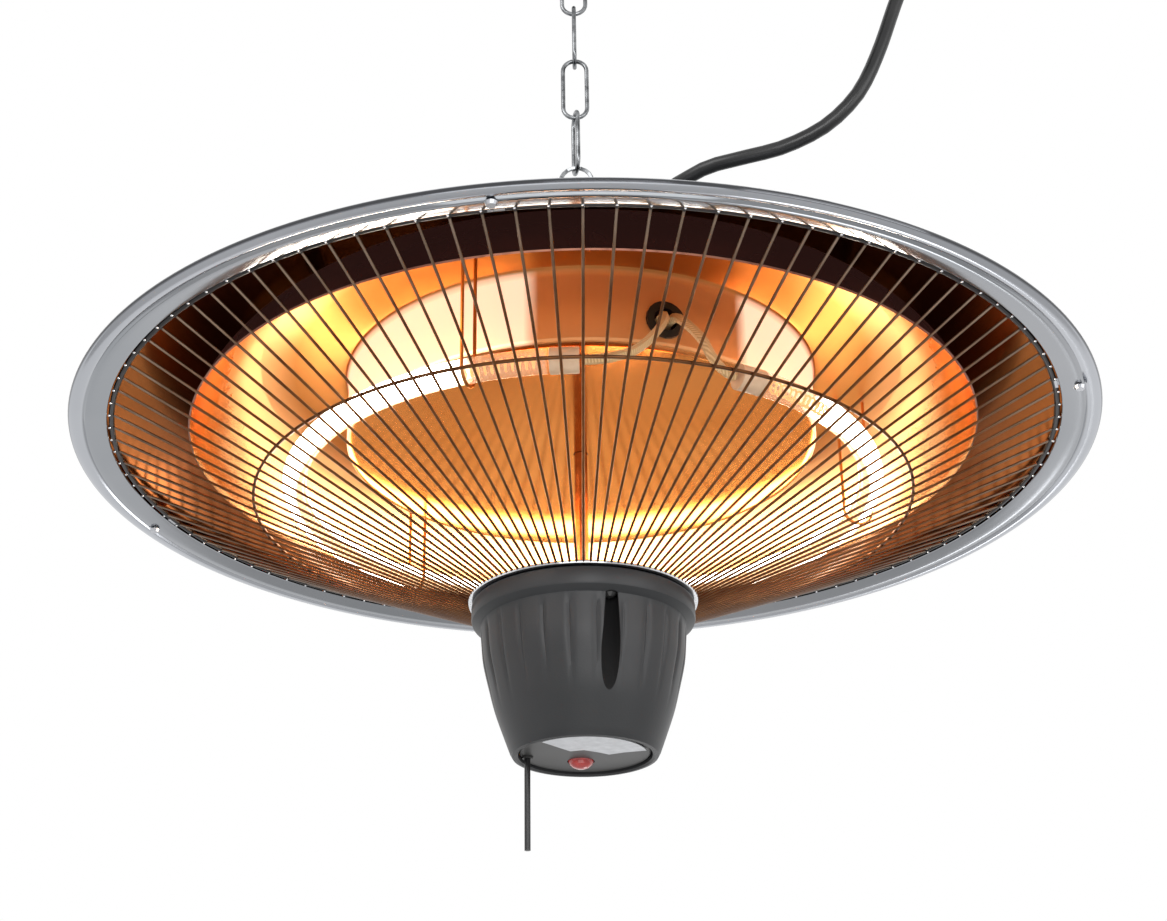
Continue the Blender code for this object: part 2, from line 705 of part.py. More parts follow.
def cap_screws():
    seat = SHADE_TOP + 2 * FIT + CAP_WALL
    made = []
    for number, place in enumerate(cap_screw_places(), 1):
        outline = [
            (0.0, seat + CAP_SCREW_HEAD_HEIGHT), (CAP_SCREW_HEAD / 2, seat + CAP_SCREW_HEAD_HEIGHT),
            (CAP_SCREW_HEAD, seat + CAP_SCREW_HEAD_HEIGHT / 2), (CAP_SCREW_HEAD, seat), (CAP_SCREW_SHANK, seat),
            (CAP_SCREW_SHANK, seat - CAP_SCREW_DEPTH), (0.0, seat - CAP_SCREW_DEPTH),
        ]
        screw = turned(f"cap_screw_{number}", outline, STEEL, TINY_SEGMENTS)
        screw.location = place
        made.append(screw)
    return made


def terminal_block():
    width, depth, height = BLOCK_SIZE
    middle = at_rim(SHADE_TOP + FIT) + height / 2
    made = box("terminal_block", BLOCK_SIZE, (0.0, BLOCK_ASIDE, middle), CERAMIC)
    for side in (-1, 0, 1):
        x = side * width / 3
        way = wire("terminal_way", [(x, BLOCK_ASIDE - depth, middle), (x, BLOCK_ASIDE + depth, middle)], BLOCK_WAY,
                   None)
        cut(made, as_mesh(way))
    return made


def cable_gland():
    outline = [
        (0.0, GLAND_OUTSIDE), (GLAND_COLLAR, GLAND_OUTSIDE), (GLAND_COLLAR, GLAND_COLLAR_START),
        (GLAND_RADIUS, GLAND_COLLAR_START), (GLAND_RADIUS, -GLAND_INSIDE), (0.0, -GLAND_INSIDE),
    ]
    made = turned("cable_gland", outline, BLACK_PLASTIC, TINY_SEGMENTS)
    made.matrix_world = gland_frame()
    return made


def strain_relief():
    start = GLAND_OUTSIDE + FIT
    outline = [
        (0.0, start + RELIEF_LENGTH), (RELIEF_THIN, start + RELIEF_LENGTH), (RELIEF_THICK, start + RELIEF_STEP),
        (RELIEF_THICK, start), (0.0, start),
    ]
    made = turned("strain_relief", outline, BLACK_RUBBER, TINY_SEGMENTS)
    made.matrix_world = gland_frame()
    return made


# Mains cable, its coil and its plug

def spool_radius(angle):
    middle = SPOOL_START + 2 * math.pi * SPOOL_TURNS_IN
    return SPOOL_INNER + SPOOL_PITCH * abs(angle - middle) / (2 * math.pi)


def spool_point(angle):
    """A point of the coil, which lies in two layers that face the camera's way."""
    middle = SPOOL_START + 2 * math.pi * SPOOL_TURNS_IN
    climb = min(max((angle - middle) / math.pi + 0.5, 0.0), 1.0)
    layer = -SPOOL_PITCH * (1 - math.cos(math.pi * climb)) / 2
    radius = spool_radius(angle)
    x, y, z = SPOOL_PLACE
    return Vector((x + radius * math.cos(angle), y + layer, at_rim(z) + radius * math.sin(angle)))


def spool_points():
    """The coil with its straight start, its tail and its straight end at the plug."""
    end = 2 * math.pi * SPOOL_END_TURNS
    count = round((end - SPOOL_START) / (2 * math.pi) * SPOOL_STEPS)
    turns = [spool_point(SPOOL_START + (end - SPOOL_START) * i / count) for i in range(count + 1)]
    heading = (turns[1] - turns[0]).normalized()
    start = turns[0] - 2 * CABLE_RADIUS * heading
    top = turns[-1]
    foot = plug_place() + Vector((0.0, 0.0, 2 * CABLE_RADIUS + FIT))
    leave = Vector((-1.0, 0.0, 0.0)) * TAIL_SIDE * TAIL_PULL_SHARE
    arrive = Vector((0.0, 0.0, -1.0)) * TAIL_SIDE * TAIL_PULL_SHARE
    tail = []
    for i in range(1, TAIL_POINT_COUNT + 1):
        t = i / TAIL_POINT_COUNT
        tail.append((2 * t ** 3 - 3 * t * t + 1) * top + (t ** 3 - 2 * t * t + t) * leave
                    + (3 * t * t - 2 * t ** 3) * foot + (t ** 3 - t * t) * arrive)
    return [start] + turns + tail + [plug_place() + Vector((0.0, 0.0, FIT))]


def plug_place():
    """Top of the plug's neck."""
    x, y, z = SPOOL_PLACE
    return Vector((x - TAIL_SIDE, y - SPOOL_PITCH - TAIL_FORWARD, at_rim(z + TAIL_FOOT) - 2 * CABLE_RADIUS - FIT))


def mains_coil():
    points = spool_points()
    gap = min((a - b).length for i, a in enumerate(points) for b in points[i + SPOOL_STEPS // 2:])
    print(f"coil: {route_length(points):.3f} m of cable, least gap {1000 * (gap - 2 * CABLE_RADIUS):.2f} mm")
    return wire("mains_coil", points, CABLE_RADIUS, BLACK_RUBBER)


def lead_points():
    frame = gland_frame()
    reach = GLAND_OUTSIDE + 2 * FIT + RELIEF_LENGTH
    start = frame @ Vector((0.0, 0.0, reach))
    straight = frame @ Vector((0.0, 0.0, reach + 2 * CABLE_RADIUS))
    coil = spool_points()
    heading = (coil[1] - coil[0]).normalized()
    end = coil[0] - FIT * heading
    route = [straight] + [Vector((x, y, at_rim(z))) for x, y, z in LEAD_ROUTE]
    return [start] + smooth_route(route + [end - 2 * CABLE_RADIUS * heading], LEAD_POINT_COUNT) + [end]


def mains_cable():
    points = lead_points()
    print(f"mains cable: {route_length(points):.3f} m between strain relief and coil")
    return wire("mains_cable", points, CABLE_RADIUS, BLACK_RUBBER, sides=2)


def coil_tie():
    """A band round the coil's bundle."""
    outer = spool_radius(SPOOL_START) + CABLE_RADIUS
    inner = SPOOL_INNER - CABLE_RADIUS
    half_r = (outer - inner) / 2 + FIT + TIE_WIRE
    half_y = SPOOL_PITCH / 2 + CABLE_RADIUS + FIT + TIE_WIRE
    x, y, z = SPOOL_PLACE
    middle_r = (outer + inner) / 2
    points = []
    for corner, (sr, sy) in enumerate(((1, 1), (-1, 1), (-1, -1), (1, -1))):
        for i in range(4):
            angle = math.radians(90) * (corner + i / 3)
            r = middle_r + sr * (half_r - TIE_CORNER) + TIE_CORNER * math.cos(angle)
            side = sy * (half_y - TIE_CORNER) + TIE_CORNER * math.sin(angle)
            points.append(Vector((x + r * math.cos(SPOOL_TIE_ANGLE), y - SPOOL_PITCH / 2 + side,
                                  at_rim(z) + r * math.sin(SPOOL_TIE_ANGLE))))
    return wire("coil_tie", points, TIE_WIRE, BLACK_PLASTIC, ring=True)


def cable_hook():
    """A small screw hook whose bend holds the coil up at its top."""
    middle = SPOOL_START + 2 * math.pi * SPOOL_TURNS_IN
    top_turn = 2 * math.pi * math.floor(middle / (2 * math.pi)) + math.pi / 2
    hang_height = spool_point(top_turn).z - CABLE_RADIUS - CABLE_HOOK_WIRE - CABLE_HOOK_SEAT
    place = (SPOOL_PLACE[0], SPOOL_PLACE[1] - SPOOL_PITCH / 2 + CABLE_HOOK_BEND, 0.0)
    points = [(0.0, 0.0, -CABLE_HOOK_PLATE_THICKNESS + CABLE_HOOK_WIRE / 2)]
    centre = hang_height + CABLE_HOOK_BEND
    for i in range(13):
        angle = -math.pi * i / 12
        points.append((0.0, CABLE_HOOK_BEND * (math.cos(angle) - 1), centre + CABLE_HOOK_BEND * math.sin(angle)))
    points.append((0.0, -2 * CABLE_HOOK_BEND, centre + CABLE_HOOK_TIP))
    made = disc("cable_hook", CABLE_HOOK_PLATE, -CABLE_HOOK_PLATE_THICKNESS, 0.0, STEEL)
    made.location = place
    rod = wire("cable_hook_rod", points, CABLE_HOOK_WIRE, None)
    rod.location = place
    return join(made, as_mesh(rod))


def plug():
    place = plug_place()
    neck = -PLUG_NECK_LENGTH
    face = neck - PLUG_LENGTH
    shoulder = neck - PLUG_LENGTH * PLUG_SHOULDER_SHARE
    outline = [
        (0.0, 0.0), (PLUG_NECK_THIN, 0.0), (PLUG_NECK_THICK, neck), (PLUG_RADIUS, shoulder), (PLUG_RADIUS, face),
        (0.0, face),
    ]
    body = turned("plug_body", outline, BLACK_RUBBER, SMALL_SEGMENTS)
    body.location = place
    made = [body]
    for side, word in ((-1, "left"), (1, "right")):
        spot = place + Vector((side * PIN_SPACING / 2, 0.0, 0.0))
        cut(body, bar_cutter("pin_socket", PIN_RADIUS + FIT, face - OVERRUN, face + PIN_SOCKET, spot, TINY_SEGMENTS))
        low = face - PIN_LENGTH
        high = face + PIN_SOCKET - FIT
        tip = [(0.0, high), (PIN_RADIUS, high), (PIN_RADIUS, low + PIN_RADIUS), (PIN_RADIUS / 2, low), (0.0, low)]
        pin = turned(f"plug_pin_{word}", tip, BRASS, TINY_SEGMENTS)
        pin.location = spot
        made.append(pin)
    return made


# Shade and reflector

def shade():
    run = RIM_RADIUS - SHADE_FLAT_RADIUS
    fall = SHADE_TOP - RIM_HEIGHT - RIM_EDGE
    outline = [(POST_RADIUS + FIT, SHADE_TOP)]
    outline += [(SHADE_FLAT_RADIUS + run * x, SHADE_TOP - fall * y) for x, y in SHADE_DOME_SHARES]
    outline += [
        (RIM_RADIUS - RIM_EDGE / 4, RIM_HEIGHT + RIM_EDGE * 3 / 4), (RIM_RADIUS, RIM_HEIGHT + RIM_EDGE / 2),
        (RIM_RADIUS - RIM_EDGE / 4, RIM_HEIGHT), (BAND_INNER_RADIUS, 0.0), (BAND_INNER_RADIUS, BAND_LIP),
    ]
    made = turned("shade", outline, SHADE_PAINT, sheet=SHEET)
    made.location = (0.0, 0.0, RIM_PLANE)
    for place in cap_screw_places():
        cut(made, bar_cutter("shade_screw_hole", CAP_SCREW_SHANK + FIT, SHADE_TOP - SHEET - OVERRUN,
                             SHADE_TOP + OVERRUN, place, TINY_SEGMENTS))
    for angle in GRILLE_CLIP_ANGLES:
        place = polar(GRILLE_CLIP_CIRCLE, angle, RIM_PLANE)
        cut(made, bar_cutter("band_hole", GRILLE_CLIP_SHANK + FIT, -OVERRUN, RIM_HEIGHT + SHEET, place,
                             TINY_SEGMENTS))
    return made


def reflector():
    run = REFLECTOR_RADIUS - TROUGH_OUTER_RADIUS
    fall = TROUGH_HEIGHT - REFLECTOR_HEIGHT
    corner = TROUGH_CORNER
    outline = [
        (POST_RADIUS + FIT, REFLECTOR_HEIGHT), (REFLECTOR_DISC_RADIUS, REFLECTOR_HEIGHT),
        (TROUGH_INNER_RADIUS, REFLECTOR_HEIGHT + TROUGH_INNER_RADIUS - REFLECTOR_DISC_RADIUS),
        (TROUGH_INNER_RADIUS, TROUGH_HEIGHT - corner), (TROUGH_INNER_RADIUS + corner / 3, TROUGH_HEIGHT - corner / 3),
        (TROUGH_INNER_RADIUS + corner, TROUGH_HEIGHT),
    ]
    outline += [(TROUGH_OUTER_RADIUS + run * x, TROUGH_HEIGHT - fall * y) for x, y in TROUGH_WALL_SHARES]
    made = turned("reflector", outline, COPPER, sheet=REFLECTOR_SHEET, side=1)
    made.location = (0.0, 0.0, RIM_PLANE)
    hole = disc("lead_hole", GROMMET_RADIUS + FIT, -GROMMET_LENGTH, GROMMET_LENGTH, None, SMALL_SEGMENTS,
                where=CUTTERS)
    hole.matrix_world = lead_hole_frame()
    return cut(made, hole)


def reflector_spacers():
    low = TROUGH_HEIGHT + REFLECTOR_SHEET + FIT
    high = on_shade(SPACER_CIRCLE + SPACER_RADIUS) - SHEET - 2 * FIT
    made = []
    for number in range(SPACER_COUNT):
        spacer = disc(f"reflector_spacer_{number + 1}", SPACER_RADIUS, low, high, STEEL, TINY_SEGMENTS)
        spacer.location = polar(SPACER_CIRCLE, SPACER_TURN + 2 * math.pi * number / SPACER_COUNT, RIM_PLANE)
        made.append(spacer)
    return made


# Quartz tube, leads and centre tube

def quartz_tube():
    height = at_rim(TUBE_HEIGHT)
    body = wire("quartz_tube", arc_points(TUBE_CIRCLE, TUBE_START, TUBE_END, height, TUBE_STEPS), TUBE_RADIUS,
                QUARTZ, sides=2)
    past = OVERRUN / TUBE_CIRCLE
    bore = wire("quartz_bore", arc_points(TUBE_CIRCLE, TUBE_START - past, TUBE_END + past, height, TUBE_STEPS),
                TUBE_RADIUS - TUBE_WALL, None)
    return cut(as_mesh(body), as_mesh(bore))


def heating_coil():
    inside = TUBE_RADIUS - TUBE_WALL - COIL_CLEARANCE
    return wire("heating_coil", arc_points(TUBE_CIRCLE, TUBE_START, TUBE_END, at_rim(TUBE_HEIGHT), TUBE_STEPS),
                inside, STEEL, sides=0)


def tube_ends():
    apart = END_GAP / TUBE_CIRCLE
    height = at_rim(TUBE_HEIGHT)
    right = arc_points(TUBE_CIRCLE, TUBE_START - apart - END_ANGLE, TUBE_START - apart, height, 4)
    left = arc_points(TUBE_CIRCLE, TUBE_END + apart, TUBE_END + apart + END_ANGLE, height, 4)
    return [wire("tube_end_right", right, END_RADIUS, CERAMIC, sides=2),
            wire("tube_end_left", left, END_RADIUS, CERAMIC, sides=2)]


def tube_clips():
    """Wire hangers that hold the tube under the trough."""
    made = []
    bend = TUBE_RADIUS + FIT + CLIP_WIRE
    top = at_rim(TROUGH_HEIGHT) - FIT
    for number, angle in enumerate(CLIP_ANGLES, 1):
        points = [polar(TUBE_CIRCLE - bend, angle, top)]
        for i in range(9):
            turn = math.pi + math.pi * i / 8
            points.append(polar(TUBE_CIRCLE + bend * math.cos(turn), angle,
                                at_rim(TUBE_HEIGHT) + bend * math.sin(turn)))
        points.append(polar(TUBE_CIRCLE + bend, angle, top))
        made.append(wire(f"tube_clip_{number}", points, CLIP_WIRE, STEEL))
    return made


def lead_hole_frame():
    """Turns +Z to point out of the trough's inner wall at the lead hole."""
    out = Matrix.Rotation(LEAD_HOLE_ANGLE, 4, "Z") @ Matrix.Rotation(math.radians(90), 4, "Y")
    return Matrix.Translation(polar(TROUGH_INNER_RADIUS, LEAD_HOLE_ANGLE, at_rim(LEAD_HOLE_HEIGHT))) @ out


def lead_grommet():
    out = 2 * FIT + GROMMET_FLANGE_THICKNESS
    outline = [
        (GROMMET_BORE, out), (GROMMET_FLANGE, out), (GROMMET_FLANGE, 2 * FIT), (GROMMET_RADIUS, 2 * FIT),
        (GROMMET_RADIUS, out - GROMMET_LENGTH), (GROMMET_BORE, out - GROMMET_LENGTH),
    ]
    made = turned("lead_grommet", outline, BLACK_RUBBER, SMALL_SEGMENTS, closed=True)
    made.matrix_world = lead_hole_frame()
    return made


def leads():
    """Two sleeved leads, side by side in the grommet, one to each end of the tube."""
    beside = (LEAD_RADIUS + FIT) / TROUGH_INNER_RADIUS
    inside = TROUGH_INNER_RADIUS - GROMMET_LENGTH
    beyond = TROUGH_INNER_RADIUS + GROMMET_LENGTH
    hole = LEAD_HOLE_HEIGHT
    drop = hole - TUBE_HEIGHT
    end_gap = END_ANGLE + 2 * END_GAP / TUBE_CIRCLE
    made = []
    for word, side, end in (("left", -1, TUBE_END + end_gap - 2 * math.pi), ("right", 1, TUBE_START - end_gap)):
        start = LEAD_HOLE_ANGLE + side * beside
        way = end - start
        route = [polar(inside, start, at_rim(hole))]
        for out, around, down in LEAD_SHARES:
            radius = beyond + (TUBE_CIRCLE - beyond) * out
            route.append(polar(radius, start + way * around, at_rim(hole - drop * down)))
        made.append(wire(f"lead_{word}", smooth_route(route, LEAD_STEPS), LEAD_RADIUS, SLEEVE, sides=1))
    return made


def centre_tube():
    low = CUP_TOP - CUP_FLOOR - FIT - POST_NUT_HEIGHT - POST_END
    high = SHADE_TOP + FIT + POST_NUT_HEIGHT + POST_END
    made = disc("centre_tube", POST_RADIUS, low, high, COPPER, bore=POST_BORE)
    made.location = (0.0, 0.0, RIM_PLANE)
    middle = (0.0, 0.0, RIM_PLANE)
    upper = hexagon("tube_nut_top", POST_NUT_ACROSS, SHADE_TOP + FIT, SHADE_TOP + FIT + POST_NUT_HEIGHT,
                    POST_RADIUS + FIT, middle, STEEL)
    seat = CUP_TOP - CUP_FLOOR - FIT
    lower = hexagon("tube_nut_cup", POST_NUT_ACROSS, seat - POST_NUT_HEIGHT, seat, POST_RADIUS + FIT, middle, STEEL)
    return [made, upper, lower]


# Grille

def hub_height():
    return CUP_TOP + FIT + HUB_THICKNESS / 2


def ring_about_axis(name, circle, height, half, look, where=PARTS):
    """A welded ring whose facets each meet two of the grille's wires between their edges."""
    outline = [
        (circle - half, height + half), (circle + half, height + half), (circle + half, height - half),
        (circle - half, height - half),
    ]
    made = turned(name, outline, look, steps=WIRE_COUNT // 2, closed=True, where=where)
    made.location = (0.0, 0.0, RIM_PLANE)
    made.rotation_euler = (0.0, 0.0, WIRE_TURN + math.pi / WIRE_COUNT)
    return made


def grille_wires(inner, outer):
    mesh = bpy.data.meshes.new("grille_wires")
    cage = bmesh.new()
    for i in range(WIRE_COUNT):
        angle = 2 * math.pi * i / WIRE_COUNT + WIRE_TURN
        foot = polar(inner, angle, at_rim(hub_height()))
        tip = polar(outer, angle, at_rim(GRILLE_RING_HEIGHT))
        way = tip - foot
        turn = way.to_track_quat("Z", "Y").to_matrix().to_4x4()
        bmesh.ops.create_cone(cage, cap_ends=True, segments=WIRE_SIDES, radius1=WIRE_RADIUS,
                              radius2=WIRE_RADIUS, depth=way.length,
                              matrix=Matrix.Translation((foot + tip) / 2) @ turn)
    cage.to_mesh(mesh)
    cage.free()
    return link_object("grille_wires", mesh, None, CUTTERS)


def grille():
    """Straight wires from the outer ring to the hub plate, with a ring welded on half way."""
    outer = BAND_INNER_RADIUS - 2 * FIT - GRILLE_RING_WIRE
    inner = HUB_RADIUS - WIRE_RADIUS
    made = ring_about_axis("grille", outer, GRILLE_RING_HEIGHT, GRILLE_RING_WIRE, WIRE_METAL)
    hub = disc("grille_hub", HUB_RADIUS, hub_height() - HUB_THICKNESS / 2, hub_height() + HUB_THICKNESS / 2, None,
               WIRE_COUNT // 2, bore=POST_RADIUS + FIT, where=CUTTERS)
    hub.location = (0.0, 0.0, RIM_PLANE)
    hub.rotation_euler = (0.0, 0.0, WIRE_TURN + math.pi / WIRE_COUNT)
    rise = (GRILLE_RING_HEIGHT - hub_height()) / (outer - inner)
    middle = hub_height() + rise * (MIDDLE_RING_RADIUS - inner) + WIRE_RADIUS / 2 + MIDDLE_RING_WIRE
    ring = ring_about_axis("grille_middle_ring", MIDDLE_RING_RADIUS, middle, MIDDLE_RING_WIRE, None, CUTTERS)
    join(made, grille_wires(inner, outer))
    join(made, hub)
    join(made, ring)
    for place in channel_places():
        cut(made, bar_cutter("hub_hole", CUP_SCREW_SHANK + FIT, CUP_TOP - OVERRUN, CUP_TOP + 2 * OVERRUN, place,
                             TINY_SEGMENTS))
    return made


def grille_clips():
    """Clips above the band, each on a screw whose head shows on the band."""
    made = []
    under = BAND_LIP + FIT
    band = RIM_HEIGHT * (GRILLE_CLIP_CIRCLE - GRILLE_CLIP_HEAD - BAND_INNER_RADIUS) / (RIM_RADIUS - BAND_INNER_RADIUS)
    head_top = band - FIT
    finger_foot = GRILLE_RING_HEIGHT + GRILLE_RING_WIRE + FIT
    ring = BAND_INNER_RADIUS - 2 * FIT - GRILLE_RING_WIRE
    for number, angle in enumerate(GRILLE_CLIP_ANGLES, 1):
        turn = Matrix.Translation((0.0, 0.0, RIM_PLANE)) @ Matrix.Rotation(angle, 4, "Z")
        length = GRILLE_CLIP_CIRCLE + GRILLE_CLIP_REACH - ring
        clip = box(f"grille_clip_{number}", (length, GRILLE_CLIP_WIDTH, GRILLE_CLIP_THICKNESS),
                   (ring + length / 2, 0.0, under + GRILLE_CLIP_THICKNESS / 2), STEEL)
        clip.matrix_world = turn
        finger_height = under + GRILLE_CLIP_THICKNESS - finger_foot
        finger = box("clip_finger", (GRILLE_RING_WIRE, GRILLE_CLIP_WIDTH, finger_height),
                     (ring + GRILLE_RING_WIRE / 2, 0.0, finger_foot + finger_height / 2), None, CUTTERS)
        finger.matrix_world = turn
        join(clip, finger)
        outline = [
            (0.0, under + GRILLE_CLIP_THICKNESS / 2), (GRILLE_CLIP_SHANK, under + GRILLE_CLIP_THICKNESS / 2),
            (GRILLE_CLIP_SHANK, head_top), (GRILLE_CLIP_HEAD, head_top),
            (GRILLE_CLIP_HEAD * 3 / 4, head_top - GRILLE_CLIP_HEAD_HEIGHT), (0.0, head_top - GRILLE_CLIP_HEAD_HEIGHT),
        ]
        screw = turned("clip_screw", outline, None, TINY_SEGMENTS, where=CUTTERS)
        screw.matrix_world = turn @ Matrix.Translation((GRILLE_CLIP_CIRCLE, 0.0, 0.0))
        join(clip, screw)
        made.append(clip)
    return made


# Cup and what it holds

def cup_side():
    """Outline of the cup's side under its flange, top to bottom."""
    top = CUP_TOP - CUP_FLANGE_HEIGHT
    depth = CUP_DEPTH - CUP_FLANGE_HEIGHT
    return [(CUP_BOTTOM_RADIUS + (CUP_BODY_RADIUS - CUP_BOTTOM_RADIUS) * wide, top - depth * down)
            for down, wide in CUP_SIDE_SHARES]


def channel_places():
    return [polar(CHANNEL_CIRCLE, CHANNEL_TURN + 2 * math.pi * i / CHANNEL_COUNT, RIM_PLANE)
            for i in range(CHANNEL_COUNT)]


def cup_housing():
    bottom = CUP_TOP - CUP_DEPTH
    flange_foot = CUP_TOP - CUP_FLANGE_HEIGHT
    solid = [(POST_RADIUS + FIT, CUP_TOP), (CUP_FLANGE_RADIUS, CUP_TOP), (CUP_FLANGE_RADIUS, flange_foot + FIT)]
    solid += cup_side() + [(POST_RADIUS + FIT, bottom)]
    made = turned("cup_housing", solid, CUP_PLASTIC, closed=True)
    made.location = (0.0, 0.0, RIM_PLANE)
    side = cup_side()
    inside = [(0.0, CUP_TOP - CUP_FLOOR), (CUP_BODY_RADIUS - CUP_WALL, CUP_TOP - CUP_FLOOR)]
    inside += [(r - CUP_WALL, z) for r, z in side[1:]]
    inside += [(side[-1][0] - CUP_WALL, bottom - OVERRUN), (0.0, bottom - OVERRUN)]
    hollow = turned("cup_hollow", inside, None, where=CUTTERS)
    hollow.location = (0.0, 0.0, RIM_PLANE)
    for place in channel_places():
        wall = bar_cutter("channel_wall", CHANNEL_RADIUS + CHANNEL_WALL, bottom - 2 * OVERRUN, CUP_TOP, place)
        cut(hollow, wall)
    cut(made, hollow)
    for place in channel_places():
        cut(made, bar_cutter("channel", CHANNEL_RADIUS, bottom - OVERRUN, flange_foot, place))
        cut(made, bar_cutter("cup_screw_hole", CUP_SCREW_SHANK + FIT, flange_foot - OVERRUN, CUP_TOP + OVERRUN,
                             place, TINY_SEGMENTS))
    return made


def cup_screws():
    seat = CUP_TOP - CUP_FLANGE_HEIGHT - FIT
    end = CUP_TOP + FIT + HUB_THICKNESS + CUP_SCREW_END
    made = []
    for number, place in enumerate(channel_places(), 1):
        outline = [
            (0.0, end), (CUP_SCREW_SHANK, end), (CUP_SCREW_SHANK, seat), (CUP_SCREW_HEAD, seat),
            (CUP_SCREW_HEAD, seat - CUP_SCREW_HEAD_HEIGHT / 2),
            (CUP_SCREW_HEAD / 2, seat - CUP_SCREW_HEAD_HEIGHT), (0.0, seat - CUP_SCREW_HEAD_HEIGHT),
        ]
        screw = turned(f"cup_screw_{number}", outline, STEEL, TINY_SEGMENTS)
        screw.location = place
        made.append(screw)
    return made


def cover_low():
    return CUP_TOP - CUP_DEPTH + COVER_RECESS


def cup_bottom():
    low = cover_low()
    radius = CUP_BOTTOM_RADIUS - CUP_WALL - FIT
    high = low + COVER_THICKNESS
    outline = [
        (0.0, high), (radius - COVER_WALL, high), (radius - COVER_WALL, high + COVER_WALL_HEIGHT),
        (radius, high + COVER_WALL_HEIGHT), (radius, low), (0.0, low),
    ]
    made = turned("cup_bottom", outline, BLACK_PLASTIC, SEGMENTS // 2)
    made.location = (0.0, 0.0, RIM_PLANE)
    for place in channel_places():
        cut(made, bar_cutter("cover_notch", CHANNEL_RADIUS + CHANNEL_WALL + FIT, low - OVERRUN,
                             high + COVER_WALL_HEIGHT + OVERRUN, place))
    cut(made, bar_cutter("lens_hole", LENS_RADIUS + FIT, low - OVERRUN, high + OVERRUN, (*LENS_PLACE, RIM_PLANE)))
    cut(made, bar_cutter("bushing_hole", BUSHING_RADIUS + FIT, low - OVERRUN, high + COVER_WALL_HEIGHT + OVERRUN,
                         (*CORD_PLACE, RIM_PLANE), TINY_SEGMENTS))
    return made


def label_plate():
    """The bare rating label, a segment of the bottom cover."""
    high = at_rim(cover_low()) - FIT
    outline = [(LABEL_RADIUS * math.cos(LABEL_START + (LABEL_END - LABEL_START) * i / 16),
                LABEL_RADIUS * math.sin(LABEL_START + (LABEL_END - LABEL_START) * i / 16)) for i in range(17)]
    outline += [(LABEL_RADIUS * x, LABEL_RADIUS * y) for x, y in LABEL_EDGE_SHARES]
    return plate("label_plate", outline, high - LABEL_THICKNESS, high, LABEL_FOIL)


def pilot_lens():
    """A red dome with a flange inside the cover, open at its back for the lamp."""
    low = cover_low()
    seat = low + COVER_THICKNESS + FIT
    dome = [(LENS_RADIUS * math.cos(math.radians(a)), low - LENS_HEIGHT * math.sin(math.radians(a)))
            for a in (0, 22, 45, 68)]
    inner = LENS_RADIUS - LENS_WALL
    outline = [(inner, seat + LENS_FLANGE_THICKNESS), (LENS_FLANGE, seat + LENS_FLANGE_THICKNESS),
               (LENS_FLANGE, seat), (LENS_RADIUS, seat)]
    outline += dome + [(0.0, low - LENS_HEIGHT), (0.0, low - LENS_HEIGHT + 2 * LENS_WALL), (inner, low)]
    made = turned("pilot_lens", outline, RED_LENS, closed=True)
    made.modifiers["turn"].steps = SMALL_SEGMENTS
    made.modifiers["turn"].render_steps = SMALL_SEGMENTS
    made.location = (*LENS_PLACE, RIM_PLANE)
    return made


def pilot_lamp():
    low = cover_low() + FIT
    made = disc("pilot_lamp", LAMP_RADIUS, low, low + LAMP_LENGTH, QUARTZ, TINY_SEGMENTS)
    made.location = (*LENS_PLACE, RIM_PLANE)
    return made


def cord_bushing():
    low = cover_low()
    bore = CORD_RADIUS + FIT
    outline = [
        (bore, low + COVER_THICKNESS + BUSHING_DROP), (BUSHING_RADIUS, low + COVER_THICKNESS + BUSHING_DROP),
        (BUSHING_RADIUS, low - BUSHING_DROP), (bore, low - BUSHING_DROP),
    ]
    made = turned("cord_bushing", outline, BLACK_PLASTIC, TINY_SEGMENTS, closed=True)
    made.location = (*CORD_PLACE, RIM_PLANE)
    return made


def pivot_place():
    """The switch lever's pin, in front of the switch body on the cord's side."""
    x = SWITCH_PLACE[0] - SWITCH_SIZE[0] / 2 - LEVER_PIVOT_GAP
    z = at_rim(CUP_TOP - CUP_FLOOR - SWITCH_CEILING) - SWITCH_SIZE[2] / 2
    return Vector((x, CORD_PLACE[1], z))


def switch_body():
    top = at_rim(CUP_TOP - CUP_FLOOR - SWITCH_CEILING)
    pivot = pivot_place()
    made = box("switch_body", SWITCH_SIZE, (*SWITCH_PLACE, top - SWITCH_SIZE[2] / 2), BLACK_PLASTIC)
    reach = LEVER_PIVOT_GAP + OVERRUN
    for side in (-1, 1):
        y = pivot.y + side * (LEVER_WIDTH / 2 + RUNNING + EAR_THICKNESS / 2)
        ear = box("switch_ear", (reach + EAR_RADIUS, EAR_THICKNESS, 2 * EAR_RADIUS),
                  (pivot.x + (reach - EAR_RADIUS) / 2, y, pivot.z), None, CUTTERS)
        join(made, ear)
    half = LEVER_WIDTH / 2 + RUNNING + EAR_THICKNESS + OVERRUN
    hole = wire("pin_hole", [pivot - Vector((0.0, half, 0.0)), pivot + Vector((0.0, half, 0.0))],
                LEVER_PIN + FIT, None, sides=2)
    return cut(made, as_mesh(hole))


def lever_pin():
    pivot = pivot_place()
    half = Vector((0.0, LEVER_WIDTH / 2 + RUNNING + EAR_THICKNESS, 0.0))
    return wire("lever_pin", [pivot - half, pivot + half], LEVER_PIN, STEEL, sides=2)


